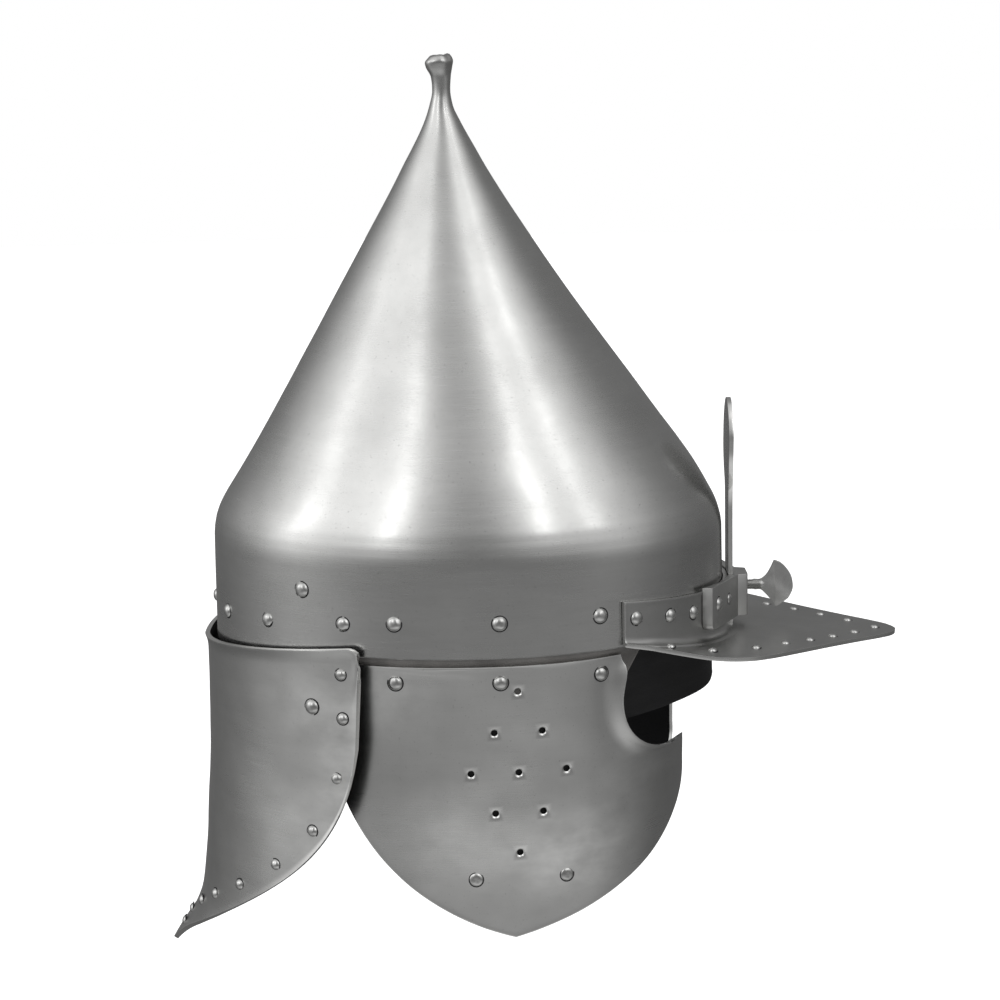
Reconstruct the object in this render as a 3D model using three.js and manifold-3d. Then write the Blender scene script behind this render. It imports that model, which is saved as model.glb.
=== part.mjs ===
// Shishak helmet, rebuilt as an assembly. Millimetres, +Z up, the face looks along -Y.
// The origin is the middle of the skull's lower rim, where the helmet sits on a head.
// Places are first worked out in helmet terms: fore (towards the face), side (towards the
// wearer's right) and up. The function place() turns them into X, Y, Z.
import * as THREE from 'three';
import Module from 'manifold-3d';
import { mergeVertices } from 'three/addons/utils/BufferGeometryUtils.js';

const wasm = await Module();
wasm.setup();

// Driving dimensions
const SHEET = 1.5; // steel sheet of the skull and guards
const GAP = 0.3; // play between pieces that lie on each other
const WALL_PLAY = 0.75; // the same inside the skull, whose flat facets sink by up to 0.45
const RIM_HALF_LENGTH = 116.8;
const WIDTH_RATIO = 0.86; // half-width of the skull over its half-length, at the rim
const BAND_TOP = 50; // above this the wall turns in towards the cone
const TUBE_BOTTOM = 235; // from here up the finial is round

// Skull outline seen from the side: reach of the outer face to the back and to the front
const SKULL_SECTIONS = [
  { up: 0, back: 116.8, front: 116.8 },
  { up: 40, back: 116.5, front: 116.5 },
  { up: 47, back: 115.5, front: 115.1 },
  { up: 52, back: 113.8, front: 113.3 },
  { up: 57, back: 111.2, front: 110.7 },
  { up: 63, back: 107.4, front: 107.4 },
  { up: 80, back: 96.6, front: 96.3 },
  { up: 110, back: 79.3, front: 74.6 },
  { up: 150, back: 56.7, front: 45.9 },
  { up: 196, back: 30.8, front: 15.7 },
  { up: 206, back: 25.6, front: 9.8 },
  { up: 219, back: 18.5, front: 2.7 },
  { up: 231, back: 13.8, front: -3.1 },
  { up: 238, back: 12.3, front: -4.2 },
  { up: 244, back: 12.6, front: -3.8 },
  { up: 248, back: 14.2, front: -3.1 },
  { up: 251, back: 14.7, front: -2.6 },
  { up: 253.3, back: 13.0, front: -3.7 },
];
const FINIAL_TOP = 254;
const SKULL_HOLLOW_TOP = 208; // inside, the cone is closed off by the solid finial
const SKULL_SIDES = 36;
const COLUMN_STEP = 1.1; // least spacing of a bent plate's columns, in mm or degrees
const SKULL_INNER_ROWS = [206, 196, 150, 110, 57, 40, 0];
const RIM_DROP = { fore: -80, deep: 9, power: 1.3 }; // behind this the rim runs down, under the neck guard

// Visor: a flange riveted round the front of the skull, bent out into a pointed brim
const VISOR_SWEEP = 54.5; // degrees each side of the face
const FLANGE_TOP = { fore: 67, up: 20.4, slope: -0.1 };
const FLANGE_FACE = RIM_HALF_LENGTH + 0.2 + GAP + SHEET;
const BRIM_THICK = 1.6;
const BRIM_BEND = 3.5;
const BRIM_HEIGHTS = [
  { fore: 68, up: 2.4 },
  { fore: 90, up: -2.5 },
  { fore: 113, up: -7 },
  { fore: 130, up: -8.6 },
  { fore: 197.5, up: -12.8 },
];
const BRIM_EDGE = [
  { fore: 70.8, side: 84.4 },
  { fore: 81, side: 81 },
  { fore: 92, side: 80.2 },
  { fore: 103, side: 78.6 },
  { fore: 114, side: 75.5 },
  { fore: 124, side: 71.2 },
  { fore: 132.5, side: 65 },
];
const BRIM_TIP = { fore: 197.5, shoulder: 189.5, side: 13.5 };
const BRIM_RIVETS = [
  { fore: 88, side: 73.5 },
  { fore: 107, side: 66 },
  { fore: 127.5, side: 52.3 },
  { fore: 141.8, side: 40.7 },
  { fore: 153.9, side: 31.9 },
  { fore: 165.4, side: 22.5 },
  { fore: 176.8, side: 12 },
];
const BRIM_TIP_RIVET = 187.8;

// Nasal bar, its bracket and the wing screw that clamps it
const BAR = { back: 119.2, thick: 2, halfWidth: 8.5, bottom: -18, shoulder: 47, top: 97, leaf: 16 };
const BRACKET = { bottom: -3.6, top: 15.8, end: 51, rise: 3, endFore: 108.3, middleFore: 123.6 };
const BOSS = { halfWidth: 7.5, fore: 128.3 };
const SCREW = { up: 9.3, radius: 2.4, stem: 135.5, wingThick: 2.4 };
const WING = { tipFore: 141.4, halfHeight: 11.2, outerFore: 149.8 };

// Cheek guards: shield plates that hang on leather straps below the rim
const CHEEK = { halfLength: 100.5, halfWidth: 97, power: 2.2, lean: 0.07 };
const CHEEK_TOP = -4;
const CHEEK_FRONT = 95.2;
const CHEEK_REAR = -61;
const CHEEK_TIP = { fore: 18.3, up: -128.6 };
const EYE = { fore: 95.2, up: -24, radiusFore: 30, radiusUp: 28.2, power: 2.3 };
const CHEEK_HOLE_RADIUS = 2;
const HOLE_PITCH = { fore: 20.8, up: 18.4 };
const HOLES = { fore: 20.8, up: -15.6, counts: [1, 2, 3, 2, 1] };
const STRAP = { thick: 2, top: 25, bottom: -21 };
const STRAP_EDGES = { rear: -48.8, front: 78.5, rearLow: -41.8, frontLow: 65.4 };
const STRAP_RIVET_FORES = [-31.6, 13.5, 57];
const STRAP_RIVET_UPS = { skull: 15.5, guard: -11.2 };
const CHEEK_LOW_RIVETS = [{ fore: 1.4, up: -101 }, { fore: 41, up: -101.3 }];

// Black lining panels inside the cheek guards, below the straps
const CHEEK_LINING = { thick: 1.8, top: -23, play: 0.7 }; // the play clears the facets of both
const CHEEK_LINING_EDGE = [
  { fore: -44, up: -72 },
  { fore: -30, up: -91 },
  { fore: -8, up: -108 },
  { fore: 18, up: -119 },
  { fore: 42, up: -112 },
  { fore: 62, up: -100 },
];

// Neck guard: a wide plate outside the back of the rim, drawn out to a flared tail
const NECK = { halfLength: 120.4, halfWidth: 103.6, power: 2, lean: 0 };
const NECK_SPAN = 67; // degrees each side of the back
const NECK_TOP = { back: -7.2, rise: 12.3, power: 1.25 };
const NECK_FLARE = [
  { up: -157, grow: 22 },
  { up: -140, grow: 11.2 },
  { up: -128, grow: 6.8 },
  { up: -116, grow: 5 },
  { up: -95, grow: 3.2 },
  { up: -40, grow: 0.3 },
  { up: 10, grow: 0 },
];
const NECK_BORDER_RIVETS = [
  { turn: 62.9, up: -7.2 },
  { turn: 63.1, up: -26.7 },
  { turn: 61.4, up: -53.7 },
  { turn: 55.5, up: -78.4 },
  { turn: 45.4, up: -96.9 },
  { turn: 33.1, up: -111.5 },
  { turn: 20.9, up: -122.4 },
  { turn: 10.3, up: -131.8 },
];
const NECK_TAIL_RIVETS = [-142.5, -148.5];
const NECK_STRAP = { turn: 53.2, top: 36, bottom: -33, halfTurn: 6 };
const NECK_STRAP_RIVETS = { skull: { turn: 52, up: 27.6 }, guard: { turn: 55.6, up: -22.9 } };

// Liner: the leather lining band inside the skull that shows below the brim. Its hem runs down
// from the face to the ears
const LINER = { top: 45, knee: 30, bottom: -33.5, earBottom: -40, hemSlope: 0.12, thick: 3, lowFore: 112.9, lowSide: 78 };

// Rivets: a domed head and a shank through the plates that it joins
const RIVET = { head: 3.1, dome: 1.7, shank: 1.7 };
const STRAP_RIVET = { head: 3.4, dome: 2, shank: 1.9 };
const BORDER_RIVET = { head: 2.5, dome: 1.4 };
const BRIM_RIVET = { head: 2, dome: 1.2 };
const BAND_RIVETS = [
  { turn: 0, up: 9 },
  { turn: 22, up: 9.6 },
  { turn: 41, up: 11.6 },
  { turn: 62.5, up: 14.2 },
];
const FLANGE_RIVETS = [{ fore: 73, up: 12.6 }, { fore: 88.5, up: 10.6 }, { fore: 99.5, up: 9 }];
const BRACKET_RIVETS = [{ side: 42.3, up: 9.7 }, { side: 24.4, up: 8 }];

// Finishes
const STEEL = { color: 0x8f9092, roughness: 0.34, metalness: 1 };
const BRIGHT = { color: 0xa6a6a4, roughness: 0.3, metalness: 1 };
const LEATHER = { color: 0x4a4744, roughness: 0.85, metalness: 0 };
const LINING = { color: 0x0b0b0c, roughness: 0.95, metalness: 0 };

// Frame and small helpers
const place = (fore, side, up) => new THREE.Vector3(-side, -fore, up);
const radians = (degrees) => THREE.MathUtils.degToRad(degrees);

// Value of a table at a place, from its rows in order
function between(rows, at, key, by = 'up') {
  const next = Math.max(1, rows.findIndex((row) => row[by] >= at));
  const high = rows[at > rows.at(-1)[by] ? rows.length - 1 : next];
  const low = rows[rows.indexOf(high) - 1];
  const part = THREE.MathUtils.clamp((at - low[by]) / (high[by] - low[by]), 0, 1);
  return THREE.MathUtils.lerp(low[key], high[key], part);
}

// Centre and half-sizes of the skull's outer face at a height
function skullSection(up) {
  const back = between(SKULL_SECTIONS, up, 'back');
  const front = between(SKULL_SECTIONS, up, 'front');
  const round = THREE.MathUtils.clamp((up - BAND_TOP) / (TUBE_BOTTOM - BAND_TOP), 0, 1);
  const halfLength = (back + front) / 2;
  return {
    fore: (front - back) / 2,
    halfLength,
    halfWidth: halfLength * THREE.MathUtils.lerp(WIDTH_RATIO, 1, round),
  };
}

// A geometry as a solid, and back
function solid(geometry) {
  const bare = geometry.clone();
  bare.deleteAttribute('normal');
  bare.deleteAttribute('uv');
  const merged = mergeVertices(bare, 1e-4);
  return new wasm.Manifold(new wasm.Mesh({
    numProp: 3,
    vertProperties: new Float32Array(merged.attributes.position.array),
    triVerts: new Uint32Array(merged.index.array),
  }));
}

function geometryOf(body) {
  const mesh = body.getMesh();
  const geometry = new THREE.BufferGeometry();
  geometry.setAttribute('position', new THREE.BufferAttribute(mesh.vertProperties, 3));
  geometry.setIndex(new THREE.BufferAttribute(mesh.triVerts, 1));
  return geometry;
}

const joined = (bodies) => wasm.Manifold.union(bodies.map(solid));
const without = (body, tools) => (tools.length ? body.subtract(joined(tools)) : body);

// The same geometry on the wearer's other side
function mirrored(geometry) {
  const copy = mergeVertices(geometry.clone().scale(-1, 1, 1), 1e-4);
  const index = copy.index.array;
  for (let i = 0; i < index.length; i += 3) {
    [index[i], index[i + 1]] = [index[i + 1], index[i]];
  }
  return copy;
}

// A sheet-metal plate from its columns. A column is a list of rows from its top edge down,
// each row a pair of points: one on the outer face and one on the inner face. The columns go
// from right to left, as seen from outside
function plate(columns) {
  const rows = columns[0].length;
  const size = 2 * rows;
  const points = columns.flatMap((column) => [
    ...column.map(([outer]) => outer),
    ...column.map(([, inner]) => inner).reverse(),
  ]);
  const faces = [];
  for (let start = 0; start < points.length - size; start += size) {
    for (let i = 0; i < size; i += 1) {
      const a = start + i;
      const b = start + ((i + 1) % size);
      faces.push(a, a + size, b, b, a + size, b + size);
    }
  }
  const last = points.length - size;
  for (let i = 0; i < rows - 1; i += 1) {
    const [a, b, c, d] = [i, i + 1, size - 1 - i, size - 2 - i];
    faces.push(a, b, c, b, d, c, last + a, last + c, last + b, last + b, last + c, last + d);
  }
  return meshOf(points, faces);
}

// Height of an outline at a place across, from its points in order
function heightAt(outline, across) {
  const next = Math.max(1, outline.findIndex((spot) => spot.x >= across - 1e-6));
  const [a, b] = [outline[next - 1], outline[next]];
  return THREE.MathUtils.mapLinear(across, a.x, b.x, a.y, b.y);
}

// A bent plate between a lower and an upper outline; move() gives the place of a point of it
function bentPlate(lower, upper, thick, rowCount, move) {
  const places = [...lower, ...upper].map((spot) => Math.round(spot.x * 10) / 10);
  const start = Math.max(lower[0].x, upper[0].x);
  const end = Math.min(lower.at(-1).x, upper.at(-1).x);
  const inside = [...new Set(places)].sort((a, b) => a - b)
    .filter((across) => across > start + COLUMN_STEP && across < end - COLUMN_STEP);
  const spaced = inside.filter((across, i) => i === 0 || across - inside[i - 1] > COLUMN_STEP);
  return plate([end, ...spaced.reverse(), start].map((across) => {
    const high = heightAt(upper, across);
    const low = heightAt(lower, across);
    return Array.from({ length: rowCount }, (_, row) => {
      const up = THREE.MathUtils.lerp(high, low, row / (rowCount - 1));
      return [move(across, up, thick / 2), move(across, up, -thick / 2)];
    });
  }));
}

function meshOf(points, faces) {
  const geometry = new THREE.BufferGeometry().setFromPoints(points);
  geometry.setIndex(faces);
  return geometry;
}

// Rivet solids. The local +Z of a rivet is the way its head faces
function aimed(geometry, point, normal) {
  const turn = new THREE.Quaternion().setFromUnitVectors(new THREE.Vector3(0, 0, 1), normal);
  return geometry.applyQuaternion(turn).translate(point.x, point.y, point.z);
}

function lathe(profile, sides) {
  const points = profile.map(([radius, up]) => new THREE.Vector2(radius, up));
  return new THREE.LatheGeometry(points, sides).rotateX(Math.PI / 2);
}

function rivet(size, point, normal, shankLength) {
  const lift = 0.15;
  const profile = [
    [0, -shankLength],
    [size.shank, -shankLength],
    [size.shank, lift],
    [size.head, lift],
    [size.head * 0.72, size.dome * 0.68],
    [0, size.dome],
  ];
  return aimed(lathe(profile, 6), point, normal);
}

function rivetHead(size, point, normal) {
  const sunk = -0.5;
  const profile = [[0, sunk], [size.head, sunk], [size.head * 0.85, size.dome * 0.55], [0, size.dome]];
  return aimed(lathe(profile, 5), point, normal);
}

function rivetHole(size, point, normal, length) {
  const radius = size.shank + GAP;
  const profile = [[0, -length], [radius, -length], [radius, 3], [0, 3]];
  return aimed(lathe(profile, 6), point, normal);
}

// Point and outward direction on an upright rounded wall, from its fore or its turn from the back
function wallAt(wall, fore, up, out = 0) {
  const reach = Math.min(Math.abs(fore) / wall.halfLength, 0.9999);
  const side = wall.halfWidth * (1 - reach ** wall.power) ** (1 / wall.power);
  const slopeFore = Math.sign(fore) * reach ** (wall.power - 1) / wall.halfLength;
  const slopeSide = (side / wall.halfWidth) ** (wall.power - 1) / wall.halfWidth;
  const long = Math.hypot(slopeFore, slopeSide);
  const lean = wall.lean * Math.max(0, -up);
  const normal = place(slopeFore / long, slopeSide / long, 0);
  return { point: place(fore, side - lean, up).addScaledVector(normal, out), normal };
}

function turnAt(wall, turn, up, out = 0, grow = 0) {
  const angle = radians(turn);
  const length = wall.halfLength + grow;
  const width = wall.halfWidth + grow;
  const slope = new THREE.Vector2(Math.cos(angle) / length, Math.sin(angle) / width).normalize();
  const normal = place(-slope.x, slope.y, 0);
  const fore = -length * Math.cos(angle);
  return { point: place(fore, width * Math.sin(angle), up).addScaledVector(normal, out), normal };
}

// The skull's outer face near the rim, as such a wall
function skullWall(up) {
  const section = skullSection(up);
  return { halfLength: section.halfLength, halfWidth: section.halfWidth, power: 2, lean: 0 };
}

// Skull with its finial, one sheet-metal bowl closed at the top
function skullGeometry() {
  const outer = SKULL_SECTIONS.map((row) => row.up);
  const profile = [
    ...SKULL_INNER_ROWS.map((up) => [skullSection(up).halfLength - SHEET * (up > BAND_TOP ? 1.15 : 1), up]),
    ...outer.map((up) => [skullSection(up).halfLength, up]),
  ];
  const closed = [[0, SKULL_HOLLOW_TOP], ...profile, [0, FINIAL_TOP]];
  const geometry = lathe(closed, SKULL_SIDES);
  const points = geometry.attributes.position;
  for (let i = 0; i < points.count; i += 1) {
    const section = skullSection(points.getZ(i));
    const narrow = section.halfWidth / section.halfLength;
    const fore = section.fore - points.getY(i);
    const back = THREE.MathUtils.clamp((RIM_DROP.fore - fore) / (RIM_DROP.fore + RIM_HALF_LENGTH), 0, 1);
    const drop = points.getZ(i) < 1 ? RIM_DROP.deep * back ** RIM_DROP.power : 0;
    points.setXYZ(i, points.getX(i) * narrow, -fore, points.getZ(i) - drop);
  }
  return geometry;
}

// Visor surface heights, and its grid of L-shaped sections
const brimUp = (fore) => between(BRIM_HEIGHTS, fore, 'up', 'fore');
const flangeUp = (fore) => FLANGE_TOP.up + (fore - FLANGE_TOP.fore) * FLANGE_TOP.slope;

function brimOutline() {
  const path = new THREE.Path();
  path.moveTo(BRIM_TIP.fore, 0);
  path.quadraticCurveTo(BRIM_TIP.fore - 1, 5, BRIM_TIP.shoulder, BRIM_TIP.side);
  const edge = BRIM_EDGE.map((row) => new THREE.Vector2(row.fore, row.side)).reverse();
  path.lineTo(edge[0].x, edge[0].y);
  path.splineThru(edge.slice(1));
  return path;
}

function visorGeometry() {
  const edge = brimOutline();
  const stations = 12;
  const columns = [];
  for (let k = -stations; k <= stations; k += 1) {
    const part = Math.abs(k) / stations;
    const turn = radians(VISOR_SWEEP * part);
    const hand = Math.sign(k) || 1;
    const fore = FLANGE_FACE * Math.cos(turn);
    const out = new THREE.Vector2(Math.cos(turn) * WIDTH_RATIO, Math.sin(turn)).normalize();
    const root = new THREE.Vector2(fore, FLANGE_FACE * WIDTH_RATIO * Math.sin(turn));
    const rim = edge.getPoint(part ** 1.15);
    const reach = rim.clone().sub(root);
    const low = brimUp(fore);
    const section = [[0, flangeUp(fore)], [0, low + BRIM_BEND]];
    [0.3, 0.65, 1].forEach((bend) => {
      const angle = bend * Math.PI / 2;
      section.push([BRIM_BEND * (1 - Math.cos(angle)), low + BRIM_BEND * (1 - Math.sin(angle))]);
    });
    const bendShare = Math.min(1, reach.length() / (2.2 * BRIM_BEND));
    const top = section.map(([far, up]) => root.clone().addScaledVector(out, far * bendShare).toArray().concat(up));
    const start = new THREE.Vector2(top.at(-1)[0], top.at(-1)[1]);
    [0.5, 1].forEach((share) => {
      const spot = start.clone().lerp(rim, share);
      top.push([spot.x, spot.y, brimUp(spot.x)]);
    });
    const under = top.map(([x, y, up], i) => {
      if (i < 2) return [x - out.x * SHEET, y - out.y * SHEET, up];
      if (i === 2) return [x - out.x * SHEET * 0.9, y - out.y * SHEET * 0.9, up - 0.5];
      if (i === 3) return [x - out.x * 0.8, y - out.y * 0.8, up - 1.2];
      return [x, y, up - BRIM_THICK];
    });
    const spot = ([x, y, up]) => place(x, y * hand, up);
    columns.push(top.map((point, i) => [spot(point), spot(under[i])]));
  }
  return plate(columns);
}

// Outlines: the lower and the upper edge of a plate, each from one end to the other
function cheekLower() {
  const rear = new THREE.CubicBezierCurve(
    new THREE.Vector2(CHEEK_REAR, -48),
    new THREE.Vector2(-51.2, -91),
    new THREE.Vector2(-20.8, -116.8),
    new THREE.Vector2(CHEEK_TIP.fore, CHEEK_TIP.up),
  );
  const front = new THREE.CubicBezierCurve(
    new THREE.Vector2(CHEEK_TIP.fore, CHEEK_TIP.up),
    new THREE.Vector2(61.1, -117.1),
    new THREE.Vector2(97.5, -98.1),
    new THREE.Vector2(CHEEK_FRONT, -64),
  );
  return [...rear.getPoints(7), ...front.getPoints(8).slice(1)];
}

// Point of the eye opening's edge, from its rear end at 0 to its low end at 1
function eyeEdge(share) {
  const angle = share * Math.PI / 2;
  const fore = EYE.fore - EYE.radiusFore * Math.abs(Math.cos(angle)) ** (2 / EYE.power);
  const up = EYE.up - Math.sign(share) * EYE.radiusUp * Math.abs(Math.sin(angle)) ** (2 / EYE.power);
  return new THREE.Vector2(fore, up);
}

function cheekUpper() {
  const arc = Array.from({ length: 9 }, (_, i) => eyeEdge(i / 8));
  const corner = new THREE.Vector2(65.6, CHEEK_TOP);
  return [new THREE.Vector2(CHEEK_REAR, CHEEK_TOP), corner, ...arc];
}

function cheekHoles() {
  return HOLES.counts.flatMap((count, row) => Array.from({ length: count }, (_, i) => {
    const fore = HOLES.fore + (i - (count - 1) / 2) * HOLE_PITCH.fore;
    const { point, normal } = wallAt(CHEEK, fore, HOLES.up - row * HOLE_PITCH.up, SHEET / 2);
    return aimed(lathe([[0, -4], [CHEEK_HOLE_RADIUS, -4], [CHEEK_HOLE_RADIUS, 3], [0, 3]], 7), point, normal);
  }));
}

const neckTop = (turn) => NECK_TOP.back + NECK_TOP.rise * Math.abs(turn / NECK_SPAN) ** NECK_TOP.power;

function neckLower() {
  const curve = new THREE.CubicBezierCurve(
    new THREE.Vector2(12.5, -141.5),
    new THREE.Vector2(55.1, -101.5),
    new THREE.Vector2(NECK_SPAN, -84.7),
    new THREE.Vector2(NECK_SPAN, -9.7),
  );
  const tail = new THREE.QuadraticBezierCurve(
    new THREE.Vector2(0, NECK_FLARE[0].up),
    new THREE.Vector2(5, -148),
    new THREE.Vector2(12.5, -141.5),
  );
  const half = [...tail.getPoints(3), ...curve.getPoints(7).slice(1)];
  return [...half.slice(1).map((spot) => new THREE.Vector2(-spot.x, spot.y)).reverse(), ...half];
}

// Plates
const cheekPoint = (fore, up, out) => wallAt(CHEEK, fore, up, out).point;

const neckPoint = (turn, up, out) => turnAt(NECK, turn, up, out, between(NECK_FLARE, up, 'grow'));

function roundBead(curvePoints, radius, steps) {
  const circle = new THREE.Shape().absarc(0, 0, radius, 0, Math.PI * 2);
  const path = new THREE.CatmullRomCurve3(curvePoints);
  return new THREE.ExtrudeGeometry(circle, { steps, extrudePath: path, curveSegments: 3 });
}

function cheekGuard() {
  const shield = bentPlate(cheekLower(), cheekUpper(), SHEET, 2, cheekPoint);
  const lip = [-0.08, 0.12, 0.32, 0.52, 0.72, 0.92].map((share) => {
    const spot = eyeEdge(share);
    return cheekPoint(spot.x, spot.y, 0.7);
  });
  const heads = CHEEK_LOW_RIVETS.map(({ fore, up }) => {
    const { point, normal } = wallAt(CHEEK, fore, up, SHEET / 2);
    return rivetHead(BORDER_RIVET, point, normal);
  });
  return without(joined([shield, roundBead(lip, 1.3, 8), ...heads]), cheekHoles());
}

function neckGuard() {
  const move = (turn, up, out) => neckPoint(turn, up, out).point;
  const upper = Array.from({ length: 9 }, (_, i) => (i / 4 - 1) * NECK_SPAN)
    .map((turn) => new THREE.Vector2(turn, neckTop(turn)));
  const wrap = bentPlate(neckLower(), upper, SHEET, 7, move);
  const beadTurns = Array.from({ length: 15 }, (_, i) => (i / 14 - 0.5) * 2 * (NECK_SPAN - 4));
  const bead = beadTurns.map((turn) => {
    return neckPoint(turn, neckTop(turn) - 0.6, 0.5).point;
  });
  const both = NECK_BORDER_RIVETS.flatMap(({ turn, up }) => [{ turn, up }, { turn: -turn, up }]);
  const tail = NECK_TAIL_RIVETS.map((up) => ({ turn: 0, up }));
  const heads = [...both, ...tail].map(({ turn, up }) => {
    const { point, normal } = neckPoint(turn, up, SHEET / 2);
    return rivetHead(BORDER_RIVET, point, normal);
  });
  return joined([wrap, roundBead(bead, 1.4, 14), ...heads]);
}

// Straps lie against the inside of the skull and of the plate that they carry
function cheekStrapPoint(fore, up, out) {
  const skull = skullWall(0);
  const high = wallAt(skull, fore, up, out - SHEET - WALL_PLAY - STRAP.thick / 2);
  const low = wallAt(CHEEK, Math.min(fore, 92), up, out - SHEET / 2 - GAP - STRAP.thick / 2);
  const share = THREE.MathUtils.smoothstep(-up, 0, 4);
  return high.point.lerp(low.point, share);
}

function cheekStrap() {
  const { rear, front, rearLow, frontLow } = STRAP_EDGES;
  const ups = [STRAP.top, 0, -2, -4, STRAP.bottom];
  const shares = Array.from({ length: 9 }, (_, i) => i / 8);
  return solid(plate(shares.map((share) => ups.map((up) => {
    const down = Math.min(up, 0) / STRAP.bottom;
    const start = THREE.MathUtils.lerp(front, frontLow, down);
    const across = THREE.MathUtils.lerp(start, THREE.MathUtils.lerp(rear, rearLow, down), share);
    return [1, -1].map((hand) => cheekStrapPoint(across, up, hand * STRAP.thick / 2));
  }))));
}

function cheekLining() {
  const edge = CHEEK_LINING_EDGE.map((spot) => new THREE.Vector2(spot.fore, spot.up));
  const top = [edge[0], edge.at(-1)].map((spot) => new THREE.Vector2(spot.x, CHEEK_LINING.top));
  const inset = SHEET / 2 + CHEEK_LINING.play + CHEEK_LINING.thick / 2;
  return solid(bentPlate(edge, top, CHEEK_LINING.thick, 2, (fore, up, out) => cheekPoint(fore, up, out - inset)));
}

function neckStrap() {
  const ups = [NECK_STRAP.top, -2, -6, -10, -14, NECK_STRAP.bottom];
  const move = (turn, up, out) => {
    const high = turnAt(skullWall(0), turn, up, out - SHEET - WALL_PLAY - STRAP.thick / 2).point;
    const low = turnAt(NECK, turn, up, out - SHEET / 2 - GAP - STRAP.thick / 2).point;
    return high.lerp(low, THREE.MathUtils.smoothstep(-up, 2, 14));
  };
  return solid(plate([1, 0, -1].map((share) => ups.map((up) => {
    const turn = NECK_STRAP.turn + share * NECK_STRAP.halfTurn;
    return [1, -1].map((hand) => move(turn, up, hand * STRAP.thick / 2));
  }))));
}

// Lining band: upright inside the skull, drawn in below the rim
function linerGeometry() {
  const skull = skullWall(0);
  const inset = SHEET + WALL_PLAY + STRAP.thick + 2 * GAP;
  const high = { fore: skull.halfLength - inset, side: skull.halfWidth - inset };
  const low = { fore: LINER.lowFore, side: LINER.lowSide };
  const rows = [{ up: LINER.bottom, ...low }, { up: LINER.knee, ...high }, { up: LINER.top, ...high }];
  const upTop = skullSection(LINER.top).halfLength - skull.halfLength;
  rows[2] = { up: LINER.top, fore: high.fore + upTop, side: high.side + upTop };
  const profile = [
    ...rows.map((row) => [row.fore, row.up]),
    ...rows.map((row) => [row.fore - LINER.thick, row.up]).reverse(),
  ];
  const geometry = lathe([...profile, profile[0]], 32);
  const points = geometry.attributes.position;
  for (let i = 0; i < points.count; i += 1) {
    const up = points.getZ(i);
    const share = THREE.MathUtils.clamp((up - LINER.bottom) / (LINER.knee - LINER.bottom), 0, 1);
    const drop = up > LINER.knee ? upTop * (up - LINER.knee) / (LINER.top - LINER.knee) : 0;
    const fore = THREE.MathUtils.lerp(low.fore, high.fore, share) + drop;
    const side = THREE.MathUtils.lerp(low.side, high.side, share) + drop;
    points.setX(i, points.getX(i) * side / fore);
    if (up > LINER.bottom + 1) continue;
    const hem = LINER.bottom - LINER.hemSlope * (LINER.lowFore + points.getY(i));
    points.setZ(i, Math.max(hem, LINER.earBottom));
  }
  return geometry;
}

// Nasal group
function barSolid() {
  const { halfWidth, bottom, shoulder, top, leaf } = BAR;
  const shape = new THREE.Shape();
  shape.moveTo(-halfWidth, bottom + 5);
  shape.quadraticCurveTo(-halfWidth, bottom, 0, bottom);
  shape.quadraticCurveTo(halfWidth, bottom, halfWidth, bottom + 5);
  shape.lineTo(halfWidth, shoulder);
  shape.bezierCurveTo(halfWidth + 1, shoulder + 12, leaf, shoulder + 16, leaf, shoulder + 31);
  shape.bezierCurveTo(leaf, top - 7, 7, top - 1, 0, top);
  shape.bezierCurveTo(-7, top - 1, -leaf, top - 7, -leaf, shoulder + 31);
  shape.bezierCurveTo(-leaf, shoulder + 16, -halfWidth - 1, shoulder + 12, -halfWidth, shoulder);
  const geometry = new THREE.ExtrudeGeometry(shape, { depth: BAR.thick, bevelEnabled: false, curveSegments: 8 });
  return solid(geometry.rotateX(Math.PI / 2).translate(0, -BAR.back, 0));
}

function bracketSolid() {
  const hug = { halfLength: FLANGE_FACE + GAP, halfWidth: FLANGE_FACE * WIDTH_RATIO + GAP };
  const onFlange = (side) => hug.halfLength * Math.sqrt(1 - (side / hug.halfWidth) ** 2);
  const slotHalf = BAR.halfWidth + 0.5;
  const slotFore = BAR.back + BAR.thick + GAP;
  const half = [
    [onFlange(slotHalf) + 0.2, slotHalf],
    [onFlange(20), 20],
    [onFlange(30), 30],
    [onFlange(41), 41],
    [onFlange(BRACKET.end - 1), BRACKET.end - 1],
    [BRACKET.endFore, BRACKET.end + 1],
    [BRACKET.middleFore, BOSS.halfWidth + 1.2],
    [BOSS.fore - 1, BOSS.halfWidth],
    [BOSS.fore, BOSS.halfWidth - 1],
  ];
  const ring = [
    [slotFore, -slotHalf],
    [slotFore, slotHalf],
    ...half,
    ...half.map(([fore, side]) => [fore, -side]).reverse(),
  ];
  const shape = new THREE.Shape(ring.map(([fore, side]) => new THREE.Vector2(-side, -fore)));
  const tall = BRACKET.top - BRACKET.bottom;
  const geometry = new THREE.ExtrudeGeometry(shape, { depth: tall, bevelEnabled: false });
  const points = geometry.attributes.position;
  for (let i = 0; i < points.count; i += 1) {
    const outward = (Math.abs(points.getX(i)) - slotHalf) / (BRACKET.end - slotHalf);
    points.setZ(i, points.getZ(i) + BRACKET.rise * Math.max(0, outward));
  }
  return solid(geometry.translate(0, 0, BRACKET.bottom));
}

const screwBore = () => lathe(
  [[0, 0], [SCREW.radius + GAP, 0], [SCREW.radius + GAP, 20], [0, 20]],
  12,
).rotateX(Math.PI / 2).translate(0, -BAR.back - BAR.thick, SCREW.up);

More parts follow.
